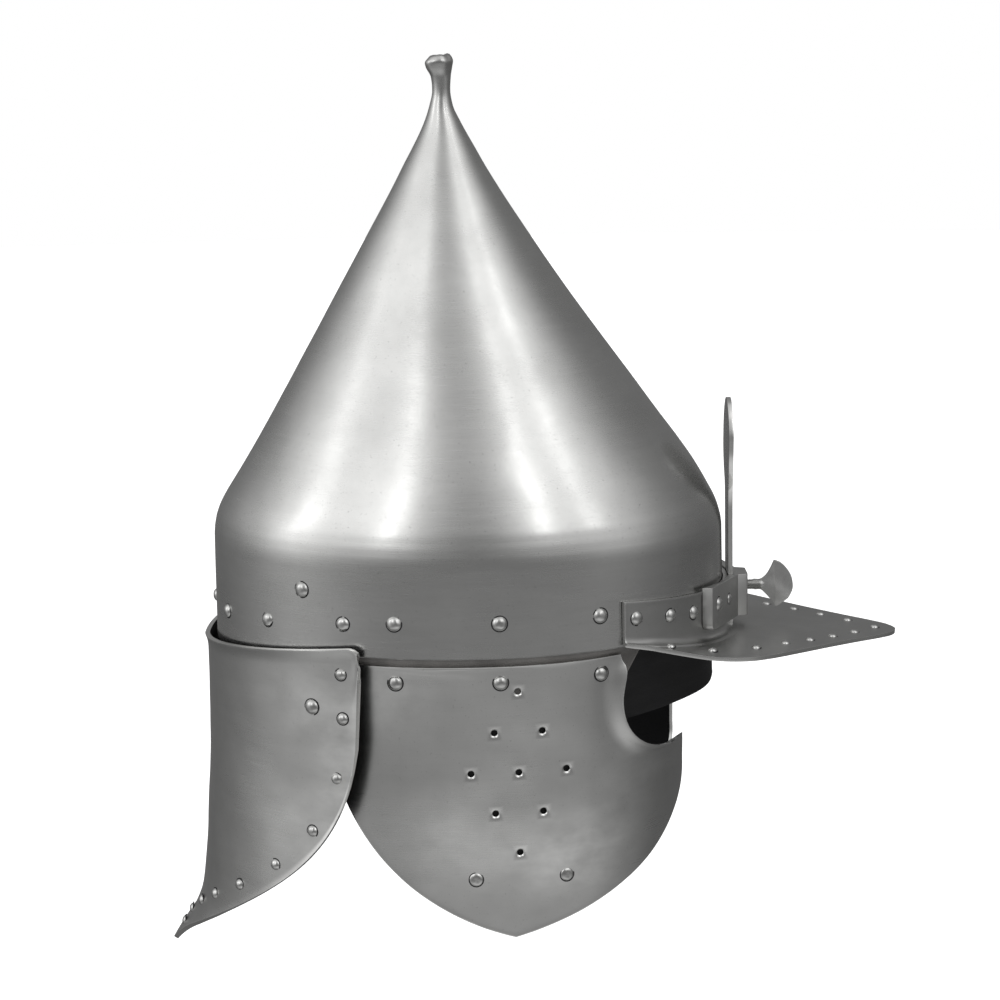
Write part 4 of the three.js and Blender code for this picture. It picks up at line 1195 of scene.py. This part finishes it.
class HELMET_OT_neck_guard(bpy.types.Operator):
    """Builds the neck guard with its row of border rivets"""
    bl_idname = "helmet.neck_guard"
    bl_label = "Neck guard"

    def execute(self, context):
        bm = grid_skin(150, 84, neck_point)
        face_outwards(bm)
        finishes = [steel("neck_steel", mottle=1.3), blackened("blackened_inside")]
        obj = plate("neck_plate", bm, finishes, 3.5, (1.5, 2.3, 0.6), NECK_PAINTED_SHEEN)
        belong(obj, "shell", "steel", "neck_guard")
        spots = []
        for turn, up in NECK_RIVETS:
            spots += [neck_skin_point(turn, up, 0.7), neck_skin_point(-turn, up, 0.7)]
        spots += [neck_skin_point(0, up, 0.7) for up in NECK_TAIL_RIVETS]
        rivet_object("neck_border_rivets", spots, 2.6, 1.7)
        return {"FINISHED"}


def leather_piece(name, solid, hand, grid, material, slot, thick):
    """A flat leather piece for one side. grid holds its columns, its rows and the right side's form."""
    bm = mirror_skin(grid_skin(*grid), hand)
    face_outwards(bm)
    belong(plate(name, bm, [material], 3.0, (thick, thick, 0.5)), "shell", slot, solid)


class HELMET_OT_straps(bpy.types.Operator):
    """Builds the leather straps that carry the guards"""
    bl_idname = "helmet.straps"
    bl_label = "Straps"

    def execute(self, context):
        material = leather("strap_leather", list(context.scene.helmet_look.leather))
        for hand, side in HANDS:
            for label, columns, move in (("cheek", 90, cheek_strap_move), ("neck", 20, neck_strap_move)):
                names = (f"{label}_leather_{side}", f"{label}_strap_{side}")
                leather_piece(*names, hand, (columns, 46, move), material, "leather", 2.0)
        return {"FINISHED"}


class HELMET_OT_lining(bpy.types.Operator):
    """Builds the black lining band inside the skull"""
    bl_idname = "helmet.lining"
    bl_label = "Lining"

    def execute(self, context):
        material = leather("lining_leather", list(context.scene.helmet_look.lining), 0.6)
        band = plate("lining_band", liner_skin(), [material], 3.5, (2.6, 3.0, 0.8))
        belong(band, "shell", "lining", "liner")
        for hand, side in HANDS:
            names = (f"cheek_lining_panel_{side}", f"cheek_lining_{side}")
            leather_piece(*names, hand, (60, 50, cheek_lining_move), material, "lining", 1.8)
        return {"FINISHED"}


class HELMET_OT_rivets(bpy.types.Operator):
    """Builds the rivets of the rim, the straps, the visor's flange and the bracket"""
    bl_idname = "helmet.rivets"
    bl_label = "Rivets"

    def execute(self, context):
        head = context.scene.helmet_sizes.rivet_head / MM
        rows = []
        high, low = STRAP_RIVET_UPS
        for number, fore in enumerate(STRAP_RIVET_FORES, 1):
            spot = wall_at(skull_wall(high), fore, high)
            rows.append((f"cheek_strap_skull_rivet_{number}", spot, 3.3, 1.95))
            spot = wall_at(CHEEK_WALL, fore, low, HALF_SHEET)
            rows.append((f"cheek_strap_guard_rivet_{number}", spot, 3.3, 1.95))
        (turn, up), below = NECK_STRAP_RIVETS
        rows.append(("neck_strap_skull_rivet", turn_at(skull_wall(up), turn, up), 3.4, 2.0))
        rows.append(("neck_strap_guard_rivet", neck_skin_point(*below, HALF_SHEET), 3.4, 2.0))
        for number, (turn, up) in enumerate(BAND_RIVETS):
            rows.append((f"band_rivet_{number}", turn_at(skull_wall(up), turn, up), head, 1.8))
        flange = {"length": FLANGE_FACE, "width": FLANGE_FACE * WIDTH_RATIO}
        for number, (fore, up) in enumerate(FLANGE_RIVETS, 1):
            rows.append((f"visor_rivet_{number}", wall_at(flange, fore, up), head, 1.75))
        (end, wide), (boss, narrow) = BRACKET["end"], BRACKET["boss"]
        slope = (boss - end) / (wide - narrow)
        for number, (side, up) in enumerate(BRACKET_RIVETS, 1):
            point = place(end + (wide - side) * slope, side, up)
            normal = Vector((-slope, -1, 0)).normalized()
            radius, dome = (head, 1.7) if number == 1 else (2.4, 1.1)
            rows.append((f"bracket_rivet_{number}", (point, normal), radius, dome))
        for name, spot, radius, dome in rows:
            rivet_object(f"{name}_head_right", [spot], radius, dome, nodes=[f"{name}_right"])
            if name != "band_rivet_0":
                rivet_object(f"{name}_head_left", [flipped(spot)], radius, dome, nodes=[f"{name}_left"])
        return {"FINISHED"}


# Studio
LIGHTS = [
    # name, azimuth from the camera towards the face, elevation, width and height in metres, brightness
    ("window_back", -78, 26, 0.4, 0.8, 0.9),
    ("window_rear", -32, 34, 0.22, 1.1, 1.7),
    ("window_front", 32, 37, 0.16, 1.0, 2.2),
    ("window_face", 57, 37, 0.22, 1.0, 1.2),
]
SOFT_LIGHTS = [
    # azimuth, elevation, width in degrees, brightness
    (-82, 36, 25, 0.95), (-75, 12, 13, 0.6), (-34, 25, 11, 0.8), (-45, 52, 14, 0.6), (31, 24, 9, 0.4),
    (32, 40, 9, 0.4), (60, 38, 18, 0.75), (50, 66, 16, 0.8), (60, 12, 12, 0.2), (-60, -44, 18, 0.35),
    (0, -44, 18, 0.5), (50, -46, 18, 0.5),
]
ROOM = {"low": 0.12, "high": 0.22}
LIGHT_DISTANCE = 2.2
# Camera: its place as reach, side and height in millimetres, and its yaw, pitch and roll in degrees
CAMERA_PLACE = (11.53, 1196.7, 268.5)
CAMERA_TURN = (-0.16, 10.3, -1.0)


def from_camera_side(azimuth, elevation):
    """Direction that is azimuth degrees from the camera's side towards the face."""
    a, e = math.radians(azimuth), math.radians(elevation)
    return Vector((-math.cos(a) * math.cos(e), -math.sin(a) * math.cos(e), math.sin(e)))


class HELMET_OT_studio(bpy.types.Operator):
    """Sets the floor, the soft lights and the camera at the picture's angle"""
    bl_idname = "helmet.studio"
    bl_label = "Studio"

    def execute(self, context):
        studio = context.scene.helmet_studio
        build_floor(studio)
        build_lights(studio)
        build_world()
        build_camera(studio)
        return {"FINISHED"}


def build_floor(studio):
    bm = bmesh.new()
    bmesh.ops.create_circle(bm, cap_ends=True, segments=96, radius=9)
    bmesh.ops.translate(bm, vec=(0, 0, studio.floor_drop), verts=bm.verts)
    mesh = bpy.data.meshes.new("floor")
    bm.to_mesh(mesh)
    bm.free()
    obj = bpy.data.objects.new("floor", mesh)
    bpy.context.scene.collection.objects.link(obj)
    made, tree, shader, vector = start_material("pale_floor")
    tone = colour_mix(tree, noise_on(tree, vector, 3, 3), (0.84, 0.84, 0.84), (0.86, 0.86, 0.86))
    tree.links.new(tone, shader.inputs["Base Color"])
    shader.inputs["Roughness"].default_value = 0.9
    shader.inputs["Emission Color"].default_value = (1, 1, 1, 1)
    shader.inputs["Emission Strength"].default_value = 0.75
    mesh.materials.append(made)
    obj.visible_glossy = False
    obj.visible_diffuse = False


def build_lights(studio):
    centre = Vector((0, 0, 0.05))
    for name, azimuth, elevation, wide, tall, brightness in LIGHTS:
        data = bpy.data.lights.new(name, "AREA")
        data.shape = "RECTANGLE"
        data.size, data.size_y = wide, tall
        data.energy = brightness * math.pi * wide * tall * studio.light
        obj = bpy.data.objects.new(name, data)
        bpy.context.scene.collection.objects.link(obj)
        obj.location = centre + from_camera_side(azimuth, elevation) * LIGHT_DISTANCE
        obj.rotation_euler = (centre - obj.location).to_track_quat("-Z", "Y").to_euler()


def build_world():
    """Soft room light for the steel, and plain white behind the helmet."""
    world = bpy.data.worlds.new("studio")
    bpy.context.scene.world = world
    world.use_nodes = True
    tree = world.node_tree
    tree.nodes.clear()
    out = tree.nodes.new("ShaderNodeOutputWorld")
    coordinate = tree.nodes.new("ShaderNodeTexCoord")
    split = tree.nodes.new("ShaderNodeSeparateXYZ")
    tree.links.new(coordinate.outputs["Generated"], split.inputs[0])
    room = node(tree, "ShaderNodeMapRange", in_From_Min=-0.35, in_From_Max=0.35)
    room.inputs["To Min"].default_value = ROOM["low"]
    room.inputs["To Max"].default_value = ROOM["high"]
    tree.links.new(split.outputs["Z"], room.inputs["Value"])
    light = room.outputs["Result"]
    for azimuth, elevation, width, brightness in SOFT_LIGHTS:
        facing = node(tree, "ShaderNodeVectorMath", operation="DOT_PRODUCT")
        facing.inputs[1].default_value = from_camera_side(azimuth, elevation)
        tree.links.new(coordinate.outputs["Generated"], facing.inputs[0])
        narrow = 1 / math.radians(width) ** 2
        away = math_node(tree, "MULTIPLY_ADD", facing.outputs["Value"], narrow, -narrow)
        light = math_node(tree, "MULTIPLY_ADD", math_node(tree, "EXPONENT", away), brightness, light)
    soft = node(tree, "ShaderNodeBackground")
    soft.inputs["Color"].default_value = (1, 1, 1, 1)
    tree.links.new(light, soft.inputs["Strength"])
    white = node(tree, "ShaderNodeBackground")
    white.inputs["Color"].default_value = (1, 1, 1, 1)
    path = tree.nodes.new("ShaderNodeLightPath")
    mix = tree.nodes.new("ShaderNodeMixShader")
    tree.links.new(path.outputs["Is Camera Ray"], mix.inputs[0])
    tree.links.new(soft.outputs[0], mix.inputs[1])
    tree.links.new(white.outputs[0], mix.inputs[2])
    tree.links.new(mix.outputs[0], out.inputs[0])


def build_camera(studio):
    data = bpy.data.cameras.new("camera")
    data.lens = studio.lens
    data.sensor_width = 36
    obj = bpy.data.objects.new("camera", data)
    bpy.context.scene.collection.objects.link(obj)
    yaw, pitch, roll = (math.radians(a) for a in CAMERA_TURN)

    def world(fore, side, up):
        return Vector((-side, -fore, up))

    right = world(math.cos(yaw), -math.sin(yaw), 0)
    level = world(math.sin(yaw), math.cos(yaw), 0)
    upright = Vector((0, 0, 1))
    back = level * math.cos(pitch) + upright * math.sin(pitch)
    tall = upright * math.cos(pitch) - level * math.sin(pitch)
    across = right * math.cos(roll) + tall * math.sin(roll)
    above = tall * math.cos(roll) - right * math.sin(roll)
    turn = Matrix((across, above, back)).transposed().to_4x4()
    obj.matrix_world = Matrix.Translation(place(*CAMERA_PLACE)) @ turn
    bpy.context.scene.camera = obj
    bpy.context.scene.view_settings.view_transform = "Standard"


class HELMET_PT_panel(bpy.types.Panel):
    bl_idname = "HELMET_PT_panel"
    bl_label = "Shishak helmet"
    bl_space_type = "VIEW_3D"
    bl_region_type = "UI"
    bl_category = "Helmet"

    def draw(self, context):
        for settings in (context.scene.helmet_sizes, context.scene.helmet_look, context.scene.helmet_studio):
            box = self.layout.box()
            for key in settings.bl_rna.properties.keys():
                if key not in ("rna_type", "name"):
                    box.prop(settings, key)
        for operator in OPERATORS:
            self.layout.operator(operator.bl_idname)


SETTINGS = {"helmet_sizes": HelmetSizes, "helmet_look": HelmetLook, "helmet_studio": HelmetStudio}
OPERATORS = (
    HELMET_OT_studio, HELMET_OT_skull, HELMET_OT_visor, HELMET_OT_nasal, HELMET_OT_cheek_guards,
    HELMET_OT_neck_guard, HELMET_OT_straps, HELMET_OT_lining, HELMET_OT_rivets,
)


def register():
    for group in (*SETTINGS.values(), *OPERATORS, HELMET_PT_panel):
        bpy.utils.register_class(group)
    for name, group in SETTINGS.items():
        setattr(bpy.types.Scene, name, PointerProperty(type=group))


def unregister():
    for name in SETTINGS:
        delattr(bpy.types.Scene, name)
    for group in reversed((*SETTINGS.values(), *OPERATORS, HELMET_PT_panel)):
        bpy.utils.unregister_class(group)


def main():
    register()
    for operator in OPERATORS:
        module, name = operator.bl_idname.split(".")
        getattr(getattr(bpy.ops, module), name)()


if __name__ == "__main__":
    main()
